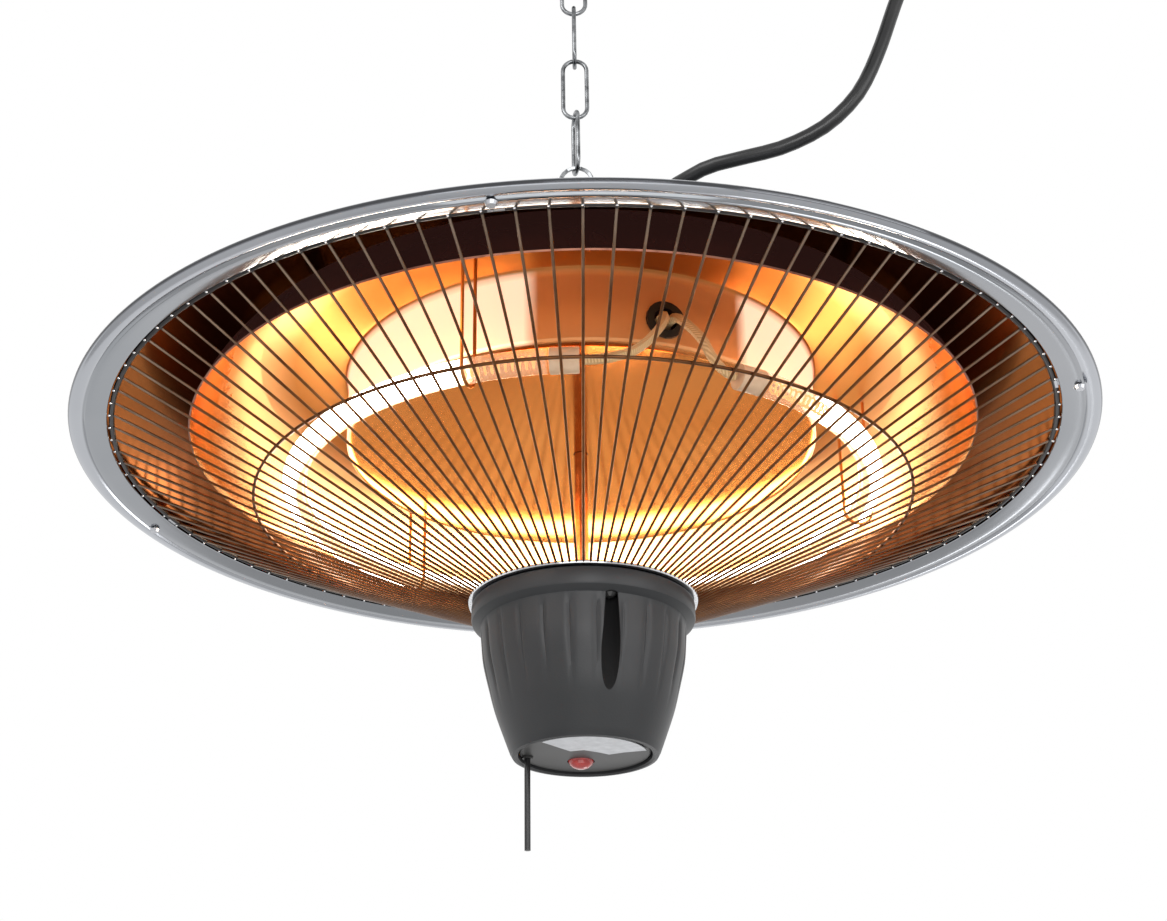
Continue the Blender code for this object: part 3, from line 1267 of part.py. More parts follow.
def switch_bracket():
    """An angle plate under the cup's floor that the switch hangs from."""
    top = at_rim(CUP_TOP - CUP_FLOOR) - FIT
    y = SWITCH_PLACE[1] + SWITCH_SIZE[1] / 2 + FIT + BRACKET_THICKNESS / 2
    drop = SWITCH_CEILING + SWITCH_SIZE[2] - FIT
    made = box("switch_bracket", (SWITCH_SIZE[0], BRACKET_THICKNESS, drop), (SWITCH_PLACE[0], y, top - drop / 2),
               STEEL)
    shelf = SWITCH_SIZE[1] / 2
    arm = box("bracket_arm", (SWITCH_SIZE[0], shelf, BRACKET_THICKNESS),
              (SWITCH_PLACE[0], y + shelf / 2 - BRACKET_THICKNESS / 2, top - BRACKET_THICKNESS / 2), None, CUTTERS)
    return join(made, arm)


def switch_lever():
    """A forked lever: the cord's bead pulls its far end down, and its hub turns on the pin."""
    pivot = pivot_place()
    far = CORD_PLACE[0] - LEVER_OVERHANG - pivot.x
    hub = wire("switch_lever", [(0.0, -LEVER_WIDTH / 2, 0.0), (0.0, LEVER_WIDTH / 2, 0.0)], LEVER_HUB,
               BRASS, sides=3)
    made = as_mesh(hub)
    made.location = pivot
    arm = box("lever_arm", (-far, LEVER_WIDTH, LEVER_THICKNESS), (far / 2 - LEVER_HUB / 4, 0.0, 0.0), None, CUTTERS)
    arm.location = pivot
    join(made, arm)
    slot_start = CORD_PLACE[0] - pivot.x + CORD_RADIUS + 2 * RUNNING
    slot_length = slot_start - far + OVERRUN
    slot = box("cord_slot", (slot_length, 2 * (CORD_RADIUS + FIT), 2 * LEVER_THICKNESS),
               (slot_start - slot_length / 2, 0.0, 0.0), None, CUTTERS)
    slot.location = pivot
    cut(made, slot)
    half = LEVER_WIDTH / 2 + OVERRUN
    bore = as_mesh(wire("lever_bore", [(0.0, -half, 0.0), (0.0, half, 0.0)], LEVER_PIN + FIT, None, sides=2))
    bore.location = pivot
    return cut(made, bore)


def return_spring():
    """A compression spring between the bottom cover and the lever."""
    pivot = pivot_place()
    x = pivot.x - SPRING_REACH
    low = at_rim(cover_low() + COVER_THICKNESS) + FIT + SPRING_WIRE
    high = pivot.z - LEVER_THICKNESS / 2 - FIT - SPRING_WIRE
    count = SPRING_TURNS * SPRING_STEPS
    points = []
    for i in range(count + 1):
        angle = 2 * math.pi * SPRING_TURNS * i / count
        points.append((x + SPRING_RADIUS * math.cos(angle), pivot.y + SPRING_RADIUS * math.sin(angle),
                       low + (high - low) * i / count))
    pitch = (high - low) / SPRING_TURNS
    print(f"spring: least gap between turns {1000 * (pitch - 2 * SPRING_WIRE):.2f} mm")
    return wire("return_spring", points, SPRING_WIRE, STEEL, sides=0)


def pull_cord():
    """The cord from the bead in the cup, through the lever's fork and the bushing, to its cut end."""
    x, y = CORD_PLACE
    top = pivot_place().z + LEVER_THICKNESS / 2 + FIT + 2 * BEAD_RADIUS
    end = at_rim(cover_low()) - CORD_DROP
    cord = wire("pull_cord", [(0.0, 0.0, end - at_rim(cover_low())), (0.0, 0.0, top - at_rim(cover_low()))],
                CORD_RADIUS, BLACK_RUBBER, sides=2)
    cord.location = (x, y, at_rim(cover_low()))
    made = as_mesh(cord)
    bead = ball("cord_bead", BEAD_RADIUS, BRASS)
    bead.location = (x, y, top - BEAD_RADIUS)
    hole = bar_cutter("bead_hole", CORD_RADIUS + FIT, -2 * BEAD_RADIUS, 2 * BEAD_RADIUS,
                      (x, y, top - BEAD_RADIUS), TINY_SEGMENTS)
    cut(bead, hole)
    return [made, bead]


def build():
    ceiling_hook()
    cable_hook()
    mains_coil()
    coil_tie()
    plug()
    last_link = chain(None)
    heater = carrier("heater_axis", (0.0, 0.0, EYE_PIVOT), last_link)
    still = [eye_bolt(), top_cap(), terminal_block(), cable_gland(), strain_relief(), mains_cable(), shade(),
             reflector(), quartz_tube(), heating_coil(), lead_grommet(), grille(), cup_housing(), cup_bottom(),
             label_plate(), pilot_lens(), pilot_lamp(), cord_bushing(), switch_body(), lever_pin(),
             switch_bracket(), return_spring()]
    for group in (eye_fixings(), cap_screws(), reflector_spacers(), tube_ends(), tube_clips(), leads(),
                  centre_tube(), grille_clips(), cup_screws()):
        still += group
    for piece in still:
        hang(piece, heater)
    x, y = CORD_PLACE
    pull = carrier("pull_axis", (x, y, at_rim(cover_low())), heater)
    for piece in pull_cord():
        hang(piece, pull)
    pivot = carrier("lever_axis", pivot_place(), heater)
    hang(switch_lever(), pivot)


build()
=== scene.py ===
"""Hanging patio heater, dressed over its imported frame. Metres, +Z up, the ceiling at zero."""
import math

import bpy
from mathutils import Matrix, Vector


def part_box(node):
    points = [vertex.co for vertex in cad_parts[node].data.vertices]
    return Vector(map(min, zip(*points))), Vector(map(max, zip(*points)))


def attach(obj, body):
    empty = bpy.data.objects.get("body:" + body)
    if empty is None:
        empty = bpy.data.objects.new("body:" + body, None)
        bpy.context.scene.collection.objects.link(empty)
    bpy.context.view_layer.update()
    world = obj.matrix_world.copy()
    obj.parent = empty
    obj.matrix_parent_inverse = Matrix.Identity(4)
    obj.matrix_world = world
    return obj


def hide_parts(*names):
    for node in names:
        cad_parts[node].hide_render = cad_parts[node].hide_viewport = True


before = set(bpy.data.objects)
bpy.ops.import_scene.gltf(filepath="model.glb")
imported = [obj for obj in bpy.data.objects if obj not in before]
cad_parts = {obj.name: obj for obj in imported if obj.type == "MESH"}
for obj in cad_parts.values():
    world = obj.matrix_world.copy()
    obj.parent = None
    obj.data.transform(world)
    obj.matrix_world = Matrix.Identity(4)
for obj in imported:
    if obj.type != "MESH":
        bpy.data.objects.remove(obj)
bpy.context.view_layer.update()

MM = 0.001
DEG = math.pi / 180
TURN = 2 * math.pi
RIM = -0.305

# Radii and heights are in millimetres about the heater's axis and over the plane of the rim.
TUBE_RADIUS, TUBE_HEIGHT, TUBE_GAP = 119.6, -14.8, -75.4 * DEG
WIRE_COUNT, FIRST_WIRE = 108, -89.4 * DEG
CHANNEL_RADIUS, CHANNEL_ANGLES = 38.9, [(-74.4 + 120 * k) * DEG for k in range(3)]
LENS_PLACE = Vector((-0.0018, 0.0115, 0.0))
CORD_PLACE = Vector((-0.023, 0.004, 0.0))
LEAD_WAY = -54 * DEG
LEAD_WIRE_WAY = -70.5 * DEG
LEAD_RADIUS = 0.003
CORD_RADIUS = 0.0012


def clear():
    """Object mode with nothing selected, so that the next operator works on its own piece only."""
    if bpy.context.object and bpy.context.object.mode != "OBJECT":
        bpy.ops.object.mode_set(mode="OBJECT")
    bpy.ops.object.select_all(action="DESELECT")


def pick(piece):
    """Makes one piece the active one, and the only one selected."""
    clear()
    piece.select_set(True)
    bpy.context.view_layer.objects.active = piece


# Camera

def set_camera():
    """Fitted to the rim, the cup's flange and its bottom, with the frame off the lens axis."""
    clear()
    bpy.ops.object.camera_add(location=(0.0, -0.7406, RIM - 0.3485))
    eye = bpy.context.object
    eye.name = "camera"
    eye.data.sensor_width = 36.0
    eye.data.lens = 59.75
    eye.data.shift_x = 0.0648
    heading, pitch, roll = 2.383 * DEG, 0.4415, 0.0022
    turn = (Matrix.Rotation(heading, 3, "Z") @ Matrix.Rotation(math.pi / 2 + pitch, 3, "X")
            @ Matrix.Rotation(roll, 3, "Z"))
    eye.rotation_euler = turn.to_euler()
    bpy.context.scene.camera = eye


# Shader maths, written as sums on sockets

class Socket:
    """A node's output, which can stand in a sum with numbers and with others of its kind."""

    def __init__(self, coat, link):
        self.coat = coat
        self.link = link

    def __add__(self, other):
        return self.coat.math("ADD", self, other)

    def __sub__(self, other):
        return self.coat.math("SUBTRACT", self, other)

    def __rsub__(self, other):
        return self.coat.math("SUBTRACT", other, self)

    def __mul__(self, other):
        return self.coat.math("MULTIPLY", self, other)

    def __truediv__(self, other):
        return self.coat.math("DIVIDE", self, other)

    def __pow__(self, other):
        return self.coat.math("POWER", self, other)

    __rmul__ = __mul__


class Coat:
    """One material, built from the nodes that its own expressions add."""

    def __init__(self, name):
        self.material = bpy.data.materials.new(name)
        self.material.use_nodes = True
        self.tree = self.material.node_tree
        self.shader = self.tree.nodes["Principled BSDF"]

    def node(self, kind, settings=None, values=None, out=0):
        made = self.tree.nodes.new(kind)
        for key, value in (settings or {}).items():
            setattr(made, key, value)
        for key, value in (values or {}).items():
            self.feed(made.inputs[key], value)
        return Socket(self, made.outputs[out])

    def feed(self, socket, value):
        if isinstance(value, Socket):
            self.tree.links.new(value.link, socket)
        elif isinstance(value, tuple) and socket.type == "RGBA":
            socket.default_value = (*value, 1.0)
        else:
            socket.default_value = value

    def math(self, kind, *values):
        return self.node("ShaderNodeMath", {"operation": kind}, dict(enumerate(values)))

    def where(self):
        return self.node("ShaderNodeTexCoord", out="Object")

    def place(self):
        """The three object coordinates, in metres."""
        split = self.node("ShaderNodeSeparateXYZ", values={"Vector": self.where()})
        return [Socket(self, way) for way in split.link.node.outputs]

    def radius(self):
        """Distance from the heater's axis, in metres."""
        x, y, _ = self.place()
        return (x * x + y * y) ** 0.5

    def noise(self, scale, detail=3.0):
        return self.node("ShaderNodeTexNoise",
                         values={"Vector": self.where(), "Scale": scale, "Detail": detail})

    def ramp(self, value, first, second, low=0.3, high=0.7):
        """A colour between two, by a value between two marks, which suit a noise unless given."""
        made = self.node("ShaderNodeValToRGB", values={"Fac": value})
        stops = made.link.node.color_ramp.elements
        for stop, at, color in zip(stops, (low, high), (first, second)):
            stop.position = at
            stop.color = (*color, 1.0)
        return made

    def span(self, value, low, high, to_low=0.0, to_high=1.0):
        """A number between two, by a value between two marks."""
        return self.node("ShaderNodeMapRange", {"clamp": True},
                         {"Value": value, "From Min": low, "From Max": high,
                          "To Min": to_low, "To Max": to_high})

    def spread(self, noise, to_low, to_high):
        """A number between two, over a noise's usual range."""
        return self.span(noise, 0.3, 0.7, to_low, to_high)

    def blend(self, share, first, second):
        return self.node("ShaderNodeMix", {"data_type": "RGBA"}, {0: share, 6: first, 7: second}, 2)

    def bump(self, height, strength, distance):
        return self.node("ShaderNodeBump",
                         values={"Height": height, "Strength": strength, "Distance": distance})

    def finish(self, **values):
        for key, value in values.items():
            self.feed(self.shader.inputs[key.replace("_", " ")], value)
        return self.material


# Finishes

def zinc_plate():
    coat = Coat("zinc_plate")
    cloud = coat.noise(160.0, 4.0)
    fine = coat.noise(1400.0, 2.0)
    return coat.finish(Base_Color=coat.ramp(cloud, (0.36, 0.37, 0.39), (0.56, 0.57, 0.60)),
                       Metallic=1.0, Roughness=coat.spread(cloud, 0.22, 0.38),
                       Normal=coat.bump(fine, 0.15, 0.00005))


def chain_steel():
    """Zinc plate gone dull, with brighter rubbed patches."""
    coat = Coat("chain_steel")
    cloud = coat.noise(260.0, 4.0)
    tone = coat.ramp(cloud, (0.13, 0.135, 0.14), (0.34, 0.35, 0.36), low=0.35)
    return coat.finish(Base_Color=tone, Metallic=1.0, Roughness=coat.spread(cloud, 0.16, 0.3),
                       Normal=coat.bump(coat.noise(900.0), 0.2, 0.0001))


def shade_paint():
    """Bright grey, a little wavy from the spinning: it mirrors the wires beside the grille, has a
    painted highlight on the rolled bead and painted shade at its outermost edge, and is satin over
    the dome."""
    coat = Coat("grey_shade_paint")
    cloud = coat.noise(7.0, 3.0)
    wave = coat.noise(38.0, 2.0)
    tone = coat.ramp(cloud, (0.29, 0.305, 0.325), (0.36, 0.37, 0.39))
    # painted highlight: the rolled bead is given a lighter grey
    bead = coat.ramp(cloud, (0.42, 0.435, 0.465), (0.50, 0.515, 0.55))
    tone = coat.blend(coat.span(coat.radius(), 0.2064, 0.2070), tone, bead)
    # painted shade: a dark line at the outermost edge
    edge = coat.span(coat.radius(), 0.2118, 0.2123)
    _, _, height = coat.place()
    dome = coat.span(height, RIM + 0.0035, RIM + 0.006)
    return coat.finish(Base_Color=coat.blend(edge, tone, (0.07, 0.072, 0.078)), Metallic=1.0,
                       Roughness=coat.span(cloud, 0.35, 0.65, 0.10, 0.16) + 0.18 * dome,
                       Normal=coat.bump(wave, 0.08, 0.0006))


def copper_inside():
    """The shade's inner face: copper toned by the rim, with painted shade making it dull and dark
    further in.
    """
    coat = Coat("shade_inner_copper")
    wave = coat.noise(18.0, 2.0)
    # painted shade: the face darkens from the rim inward
    rim = coat.span(coat.radius(), 0.168, 0.192)
    tone = coat.ramp(wave, (0.44, 0.125, 0.036), (0.54, 0.18, 0.058))
    return coat.finish(Base_Color=coat.blend(rim, (0.11, 0.040, 0.026), tone), Metallic=1.0,
                       Specular_Tint=(1.0, 0.74, 0.52), Roughness=coat.spread(wave, 0.16, 0.24),
                       Normal=coat.bump(wave, 0.1, 0.002))


def near_gap(coat, close, far):
    """One by the gap in the ring-shaped tube, falling to nothing between two angles from it."""
    x, y, _ = coat.place()
    to_gap = (x * math.cos(TUBE_GAP) + y * math.sin(TUBE_GAP)) / coat.radius()
    return coat.span(to_gap, math.cos(far * DEG), math.cos(close * DEG))


def copper_mirror():
    """Polished copper-toned sheet, a little wavy from the press. The middle plate is deepest in
    tone, the trough's roof is dark, its walls are lightened with painted light, and its inner wall
    carries a painted glare, an emission that stands in for the tube's reflection, but for the part
    beside the tube's gap."""
    coat = Coat("copper_toned_mirror")
    wave = coat.noise(13.0, 2.0)
    grain = coat.noise(240.0, 3.0)
    trough = coat.span(coat.radius(), 0.0975, 0.0985)
    plate = coat.ramp(wave, (0.70, 0.225, 0.055), (0.84, 0.315, 0.09))
    # painted light: the trough's walls take a lighter tone that stands for the tube's light on them
    painted_light_walls = coat.ramp(wave, (0.77, 0.36, 0.14), (0.86, 0.44, 0.19))
    roof = coat.ramp(wave, (0.36, 0.135, 0.036), (0.47, 0.185, 0.052))
    inner_wall = trough * coat.span(coat.radius(), 0.0985, 0.1000, 1.0, 0.0)
    outer_wall = coat.span(coat.radius(), 0.122, 0.138)
    inside = coat.blend(inner_wall + outer_wall, roof, painted_light_walls)
    blur = coat.span(coat.radius(), 0.144, 0.154, 0.24, 0.08)
    # painted glare: emission on the inner wall stands in for the tube's reflection there
    painted_glare = inner_wall * (1 - near_gap(coat, 23.5, 27))
    return coat.finish(Base_Color=coat.blend(trough, plate, inside),
                       Specular_Tint=(1.0, 0.76, 0.50), Metallic=1 - 0.6 * inner_wall,
                       Roughness=coat.spread(grain, 0.10, 0.14) + blur * trough,
                       Emission_Color=coat.blend(painted_glare, (0.0, 0.0, 0.0), (1.0, 0.84, 0.62)),
                       Emission_Strength=1.0, Normal=coat.bump(wave, 0.10, 0.003))


def copper_back():
    """The reflector's unpolished back, which shows as the dark wall behind the rim, with a faint
    emission of painted light.
    """
    coat = Coat("reflector_back")
    cloud = coat.noise(30.0, 3.0)
    # painted light: the faint emission stands for the tube's glow reaching this closed gap
    return coat.finish(Base_Color=coat.ramp(cloud, (0.24, 0.10, 0.07), (0.36, 0.16, 0.10)),
                       Metallic=1.0, Roughness=coat.spread(cloud, 0.22, 0.34),
                       Normal=coat.bump(cloud, 0.15, 0.001),
                       Emission_Color=(0.017, 0.0065, 0.0055), Emission_Strength=1.0)


def bronze_wire():
    """Chromed wire that the heat has turned brown, darkest over the tube from heat tint and painted
    shade where it stands against the glow. The outer ring is painted dark, as shade under the
    band's lip.
    """
    coat = Coat("bronze_wire")
    cloud = coat.noise(90.0, 3.0)
    # heat tint and painted shade: darker over the tube, where the wires stand against the glow
    heat_tint_and_shade = coat.ramp(cloud, (0.085, 0.036, 0.016), (0.16, 0.072, 0.030))
    plain = coat.ramp(cloud, (0.17, 0.12, 0.085), (0.27, 0.20, 0.15))
    tone = coat.blend(coat.span(coat.radius(), 0.160, 0.192), heat_tint_and_shade, plain)
    # painted shade: the outer ring is dark under the band's lip
    outer_ring = coat.span(coat.radius(), 0.1938, 0.1944)
    return coat.finish(Base_Color=coat.blend(outer_ring, tone, (0.045, 0.042, 0.042)),
                       Metallic=1.0, Roughness=coat.spread(cloud, 0.30, 0.42))


def post_copper():
    coat = Coat("copper_post")
    wave = coat.noise(120.0, 3.0)
    return coat.finish(Base_Color=coat.ramp(wave, (0.30, 0.12, 0.06), (0.44, 0.20, 0.10)),
                       Metallic=1.0, Roughness=coat.spread(wave, 0.16, 0.26))


def hub_chrome():
    coat = Coat("hub_chrome")
    cloud = coat.noise(40.0, 3.0)
    return coat.finish(Base_Color=coat.ramp(cloud, (0.62, 0.63, 0.65), (0.80, 0.81, 0.83)),
                       Metallic=1.0, Roughness=coat.spread(cloud, 0.06, 0.12))


def lit_quartz():
    """Clear quartz that its filament makes all but white. The filament's turns show as a darker,
    beaded strip along its inner foot, and the glass at its two ends is cold."""
    coat = Coat("lit_quartz")
    x, y, z = coat.place()
    cold = near_gap(coat, 34, 41)
    turns = coat.math("SINE", 230 * coat.math("ARCTAN2", y, x))
    beads = coat.ramp(turns, (0.050, 0.022, 0.006), (0.085, 0.052, 0.022), 0.2, 0.8)
    inner_foot = coat.radius() - TUBE_RADIUS * MM + z - (RIM + TUBE_HEIGHT * MM)
    glow = coat.blend(coat.span(inner_foot, -0.0056, -0.0044), beads, (1.0, 0.90, 0.76))
    return coat.finish(Base_Color=(0.95, 0.80, 0.62), Roughness=0.08, Alpha=1 - 0.75 * cold,
                       Emission_Color=coat.blend(cold, glow, (0.012, 0.004, 0.001)),
                       Emission_Strength=22.0)


def hot_filament():
    coat = Coat("hot_filament")
    cloud = coat.noise(300.0, 2.0)
    return coat.finish(Base_Color=(0.30, 0.16, 0.08), Metallic=1.0, Roughness=0.4,
                       Emission_Color=coat.ramp(cloud, (1.0, 0.30, 0.05), (1.0, 0.50, 0.14)),
                       Emission_Strength=1.2)


def ceramic():
    """White ceramic, with the tube's warm light painted into its colour."""
    coat = Coat("white_ceramic")
    cloud = coat.noise(130.0, 4.0)
    return coat.finish(Base_Color=coat.ramp(cloud, (0.62, 0.40, 0.24), (0.78, 0.56, 0.37)),
                       Roughness=coat.spread(cloud, 0.35, 0.55),
                       Normal=coat.bump(cloud, 0.2, 0.0001))


def woven_sleeve():
    coat = Coat("glass_fibre_sleeve")
    weave = coat.node("ShaderNodeTexWave", {"wave_type": "BANDS", "bands_direction": "DIAGONAL"},
                      {"Vector": coat.where(), "Scale": 480.0, "Distortion": 1.2})
    # painted light: white glass fibre given a warm orange tone that stands for the tube's light
    tone = coat.ramp(weave, (0.55, 0.33, 0.14), (0.74, 0.50, 0.25), 0.2, 0.8)
    return coat.finish(Base_Color=tone, Roughness=0.75, Normal=coat.bump(weave, 0.5, 0.0002))


def black_plastic():
    coat = Coat("black_plastic")
    grain = coat.noise(1500.0, 2.0)
    cloud = coat.noise(25.0, 2.0)
    return coat.finish(Base_Color=coat.ramp(cloud, (0.026, 0.026, 0.026), (0.036, 0.036, 0.035)),
                       Roughness=coat.spread(cloud, 0.38, 0.48),
                       Normal=coat.bump(grain, 0.25, 0.00008))


def charcoal_plastic():
    """The cup's plastic, with a fine moulded grain, painted all but black in the three screw
    channels as shade in those recesses.
    """
    coat = Coat("charcoal_plastic")
    grain = coat.noise(1300.0, 2.0)
    cloud = coat.noise(22.0, 3.0)
    x, y, _ = coat.place()
    nearest = 1.0
    for angle in CHANNEL_ANGLES:
        aside = x - CHANNEL_RADIUS * MM * math.cos(angle)
        along = y - CHANNEL_RADIUS * MM * math.sin(angle)
        nearest = coat.math("MINIMUM", aside ** 2 + along ** 2, nearest)
    tone = coat.ramp(cloud, (0.024, 0.025, 0.0265), (0.033, 0.034, 0.036))
    # painted shade: near-black inside the screw channels
    out_of_channel_shade = coat.span(nearest, 0.0037 ** 2, 0.0039 ** 2)
    return coat.finish(Base_Color=coat.blend(out_of_channel_shade, (0.003, 0.003, 0.0033), tone),
                       Specular_IOR_Level=0.3,
                       Roughness=coat.spread(cloud, 0.36, 0.44) + 0.5 * (1 - out_of_channel_shade),
                       Normal=coat.bump(grain, 0.3, 0.0001))


def black_rubber():
    coat = Coat("black_rubber")
    grain = coat.noise(900.0, 3.0)
    cloud = coat.noise(60.0, 2.0)
    return coat.finish(Base_Color=coat.ramp(cloud, (0.007, 0.007, 0.0075), (0.013, 0.013, 0.0135)),
                       Specular_IOR_Level=0.4, Roughness=coat.spread(cloud, 0.27, 0.36),
                       Normal=coat.bump(grain, 0.12, 0.00006))


def red_lens():
    coat = Coat("red_lens")
    cloud = coat.noise(420.0, 3.0)
    return coat.finish(Base_Color=coat.ramp(cloud, (0.24, 0.010, 0.010), (0.42, 0.03, 0.025)),
                       Roughness=0.12, Coat_Weight=0.6, Emission_Color=(0.6, 0.03, 0.02),
                       Emission_Strength=0.1)


def label_foil():
    """Bare satin foil."""
    coat = Coat("bare_foil")
    cloud = coat.noise(300.0, 4.0)
    return coat.finish(Base_Color=coat.ramp(cloud, (0.46, 0.47, 0.49), (0.62, 0.63, 0.65)),
                       Metallic=0.6, Roughness=coat.spread(cloud, 0.34, 0.5),
                       Normal=coat.bump(cloud, 0.2, 0.0001))


def brass():
    coat = Coat("bright_brass")
    cloud = coat.noise(200.0, 4.0)
    return coat.finish(Base_Color=coat.ramp(cloud, (0.62, 0.44, 0.16), (0.80, 0.62, 0.30)),
                       Metallic=1.0, Roughness=coat.spread(cloud, 0.2, 0.32))


# Ways of making a piece

def settle(name, look, body, nodes=(), smooth=30.0):
    """Names the active piece, puts its place into its mesh, and hands it to the body that
    carries it. A piece that already has its materials is given no look."""
    piece = bpy.context.object
    pick(piece)
    bpy.ops.object.transform_apply(location=True, rotation=True, scale=True)
    bpy.ops.object.shade_smooth_by_angle(angle=smooth * DEG)
    piece.name = name
    piece.data.name = name
    if look:
        piece.data.materials.clear()
        piece.data.materials.append(look)
    if nodes:
        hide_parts(*nodes)
    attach(piece, body)


def spin_outline(outline, steps, place=(0.0, 0.0, 0.0)):
    """Draws an outline of radius and height from one vertex and spins it about the vertical
    through a place."""
    clear()
    centre = Vector(place)
    first = centre + Vector((outline[0][0], 0.0, outline[0][1]))
    bpy.ops.mesh.primitive_plane_add(size=MM, location=first)
    bpy.ops.object.transform_apply(location=True)
    bpy.ops.object.mode_set(mode="EDIT")
    bpy.ops.mesh.select_all(action="SELECT")
    bpy.ops.mesh.merge(type="CENTER")
    for (r0, z0), (r1, z1) in zip(outline, outline[1:]):
        way = (r1 - r0, 0.0, z1 - z0)
        bpy.ops.mesh.extrude_region_move(TRANSFORM_OT_translate={"value": way})
    bpy.ops.mesh.select_all(action="SELECT")
    bpy.ops.mesh.spin(steps=steps, angle=TURN, center=centre, axis=(0.0, 0.0, 1.0))
    bpy.ops.mesh.select_all(action="SELECT")
    bpy.ops.mesh.remove_doubles(threshold=0.00001)
    bpy.ops.mesh.select_all(action="SELECT")
    bpy.ops.mesh.normals_make_consistent(inside=False)
    bpy.ops.object.mode_set(mode="OBJECT")
    return bpy.context.object


def soften(points, steps):
    """A smooth line through an outline's points, with a number of steps between each two."""
    ends = [points[0]] + list(points) + [points[-1]]
    made = []
    for four in zip(ends, ends[1:], ends[2:], ends[3:]):
        for i in range(steps):
            t = i / steps
            made.append(tuple(0.5 * (2 * q + (r - p) * t + (2 * p - 5 * q + 4 * r - s) * t * t
                                     + (3 * q - p - 3 * r + s) * t ** 3)
                              for p, q, r, s in zip(*four)))
    made.append(tuple(points[-1]))
    return made


def mm(points):
    """Outline points in millimetres above the rim plane, as metres above the ceiling's zero."""
    return [(r * MM, RIM + z * MM) for r, z in points]


def around(radius, angle, height):
    return Vector((radius * math.cos(angle) * MM, radius * math.sin(angle) * MM, RIM + height * MM))


def give_wall(thickness, inner_slot=0):
    """Gives the active skin its thickness, inward from the side that was drawn."""
    wall = bpy.context.object.modifiers.new("wall", "SOLIDIFY")
    wall.thickness = thickness
    wall.offset = -1.0
    wall.use_even_offset = True
    wall.material_offset = inner_slot
    bpy.ops.object.modifier_apply(modifier="wall")


def round_edges(width):
    edge = bpy.context.object.modifiers.new("edges", "BEVEL")
    edge.width = width
    edge.segments = 3
    edge.limit_method = "ANGLE"
    edge.angle_limit = 35 * DEG
    bpy.ops.object.modifier_apply(modifier="edges")


def combine(kind, maker):
    """Cuts, joins or crosses the active piece with a solid that the given function makes."""
    piece = bpy.context.object
    clear()
    maker()
    other = bpy.context.object
    pick(piece)
    step = piece.modifiers.new("solids", "BOOLEAN")
    step.operation = kind
    step.solver = "EXACT"
    step.object = other
    bpy.ops.object.modifier_apply(modifier="solids")
    bpy.data.objects.remove(other)


def bar_between(start, end, radius, sides):
    """A cylinder from one place to another."""
    way = end - start
    bpy.ops.mesh.primitive_cylinder_add(radius=radius, depth=way.length, vertices=sides,
                                        location=(start + end) / 2,
                                        rotation=way.to_track_quat("Z", "Y").to_euler())


def curve_along(name, route, radius, rounding, ring=False):
    """A round cord or wire along a route, as a curve with closed ends or as a ring."""
    curve = bpy.data.curves.new(name, "CURVE")
    curve.dimensions = "3D"
    curve.bevel_depth = radius
    curve.bevel_resolution = rounding
    curve.use_fill_caps = True
    spline = curve.splines.new("POLY")
    spline.points.add(len(route) - 1)
    for spot, place in zip(spline.points, route):
        spot.co = (*place, 1.0)
    spline.use_cyclic_u = ring
    made = bpy.data.objects.new(name, curve)
    bpy.context.scene.collection.objects.link(made)
    return made


def bent_wire(route, radius, ring=False, rounding=3):
    """A round wire bent along a route, as a mesh."""
    pick(curve_along("wire", route, radius, rounding, ring))
    bpy.ops.object.convert(target="MESH")
    bpy.ops.object.mode_set(mode="EDIT")
    bpy.ops.mesh.select_all(action="SELECT")
    bpy.ops.mesh.remove_doubles(threshold=0.000002)
    bpy.ops.mesh.normals_make_consistent(inside=False)
    bpy.ops.object.mode_set(mode="OBJECT")
    return bpy.context.object


def copies_round(piece, count):
    """A piece and its copies, evenly spaced about the heater's axis."""
    pieces = [piece]
    for i in range(1, count):
        pick(piece)
        bpy.ops.object.duplicate()
        copy = bpy.context.object
        copy.data.transform(Matrix.Rotation(TURN * i / count, 4, "Z"))
        pieces.append(copy)
    return pieces


def join(pieces):
    clear()
    for piece in pieces:
        piece.select_set(True)
    bpy.context.view_layer.objects.active = pieces[0]
    bpy.ops.object.join()


# Mains lead, its coil and the pull cord

PLUG_TOP = Vector((0.084, -0.1166, RIM + 0.2537))
SPOOL_FIRST, SPOOL_LAST, SPOOL_CLIMB = -22 * DEG, 2250 * DEG, (-22 + 1152) * DEG
SPOOL_PITCH, SPOOL_INNER = 6.6, 24.5


def even_route(points, count):
    """Evenly spaced points of a smooth curve through a list of places."""
    steps = 16
    places = [Vector(point) for point in points]
    before, after = 2 * places[0] - places[1], 2 * places[-1] - places[-2]
    fine = [Vector(p) for p in soften([before] + places + [after], steps)][steps:-steps]
    lengths = [0.0]
    for start, end in zip(fine, fine[1:]):
        lengths.append(lengths[-1] + (end - start).length)
    made, k = [], 0
    for i in range(count):
        want = lengths[-1] * i / (count - 1)
        while k < len(fine) - 2 and lengths[k + 1] < want:
            k += 1
        share = (want - lengths[k]) / (lengths[k + 1] - lengths[k])
        made.append(fine[k].lerp(fine[k + 1], share))
    return made


def spool_point(angle):
    """A point of the tied coil: one layer wound inward, half a turn over to the next layer, and
    that one wound outward."""
    climb = min(max((angle - SPOOL_CLIMB) / math.pi + 0.5, 0.0), 1.0)
    layer = -SPOOL_PITCH * (1 - math.cos(math.pi * climb)) / 2
    radius = SPOOL_INNER + SPOOL_PITCH * abs(angle - SPOOL_CLIMB) / TURN
    return Vector(((118 + radius * math.cos(angle)) * MM, (-84 + layer) * MM,
                   RIM + (252 + radius * math.sin(angle)) * MM))


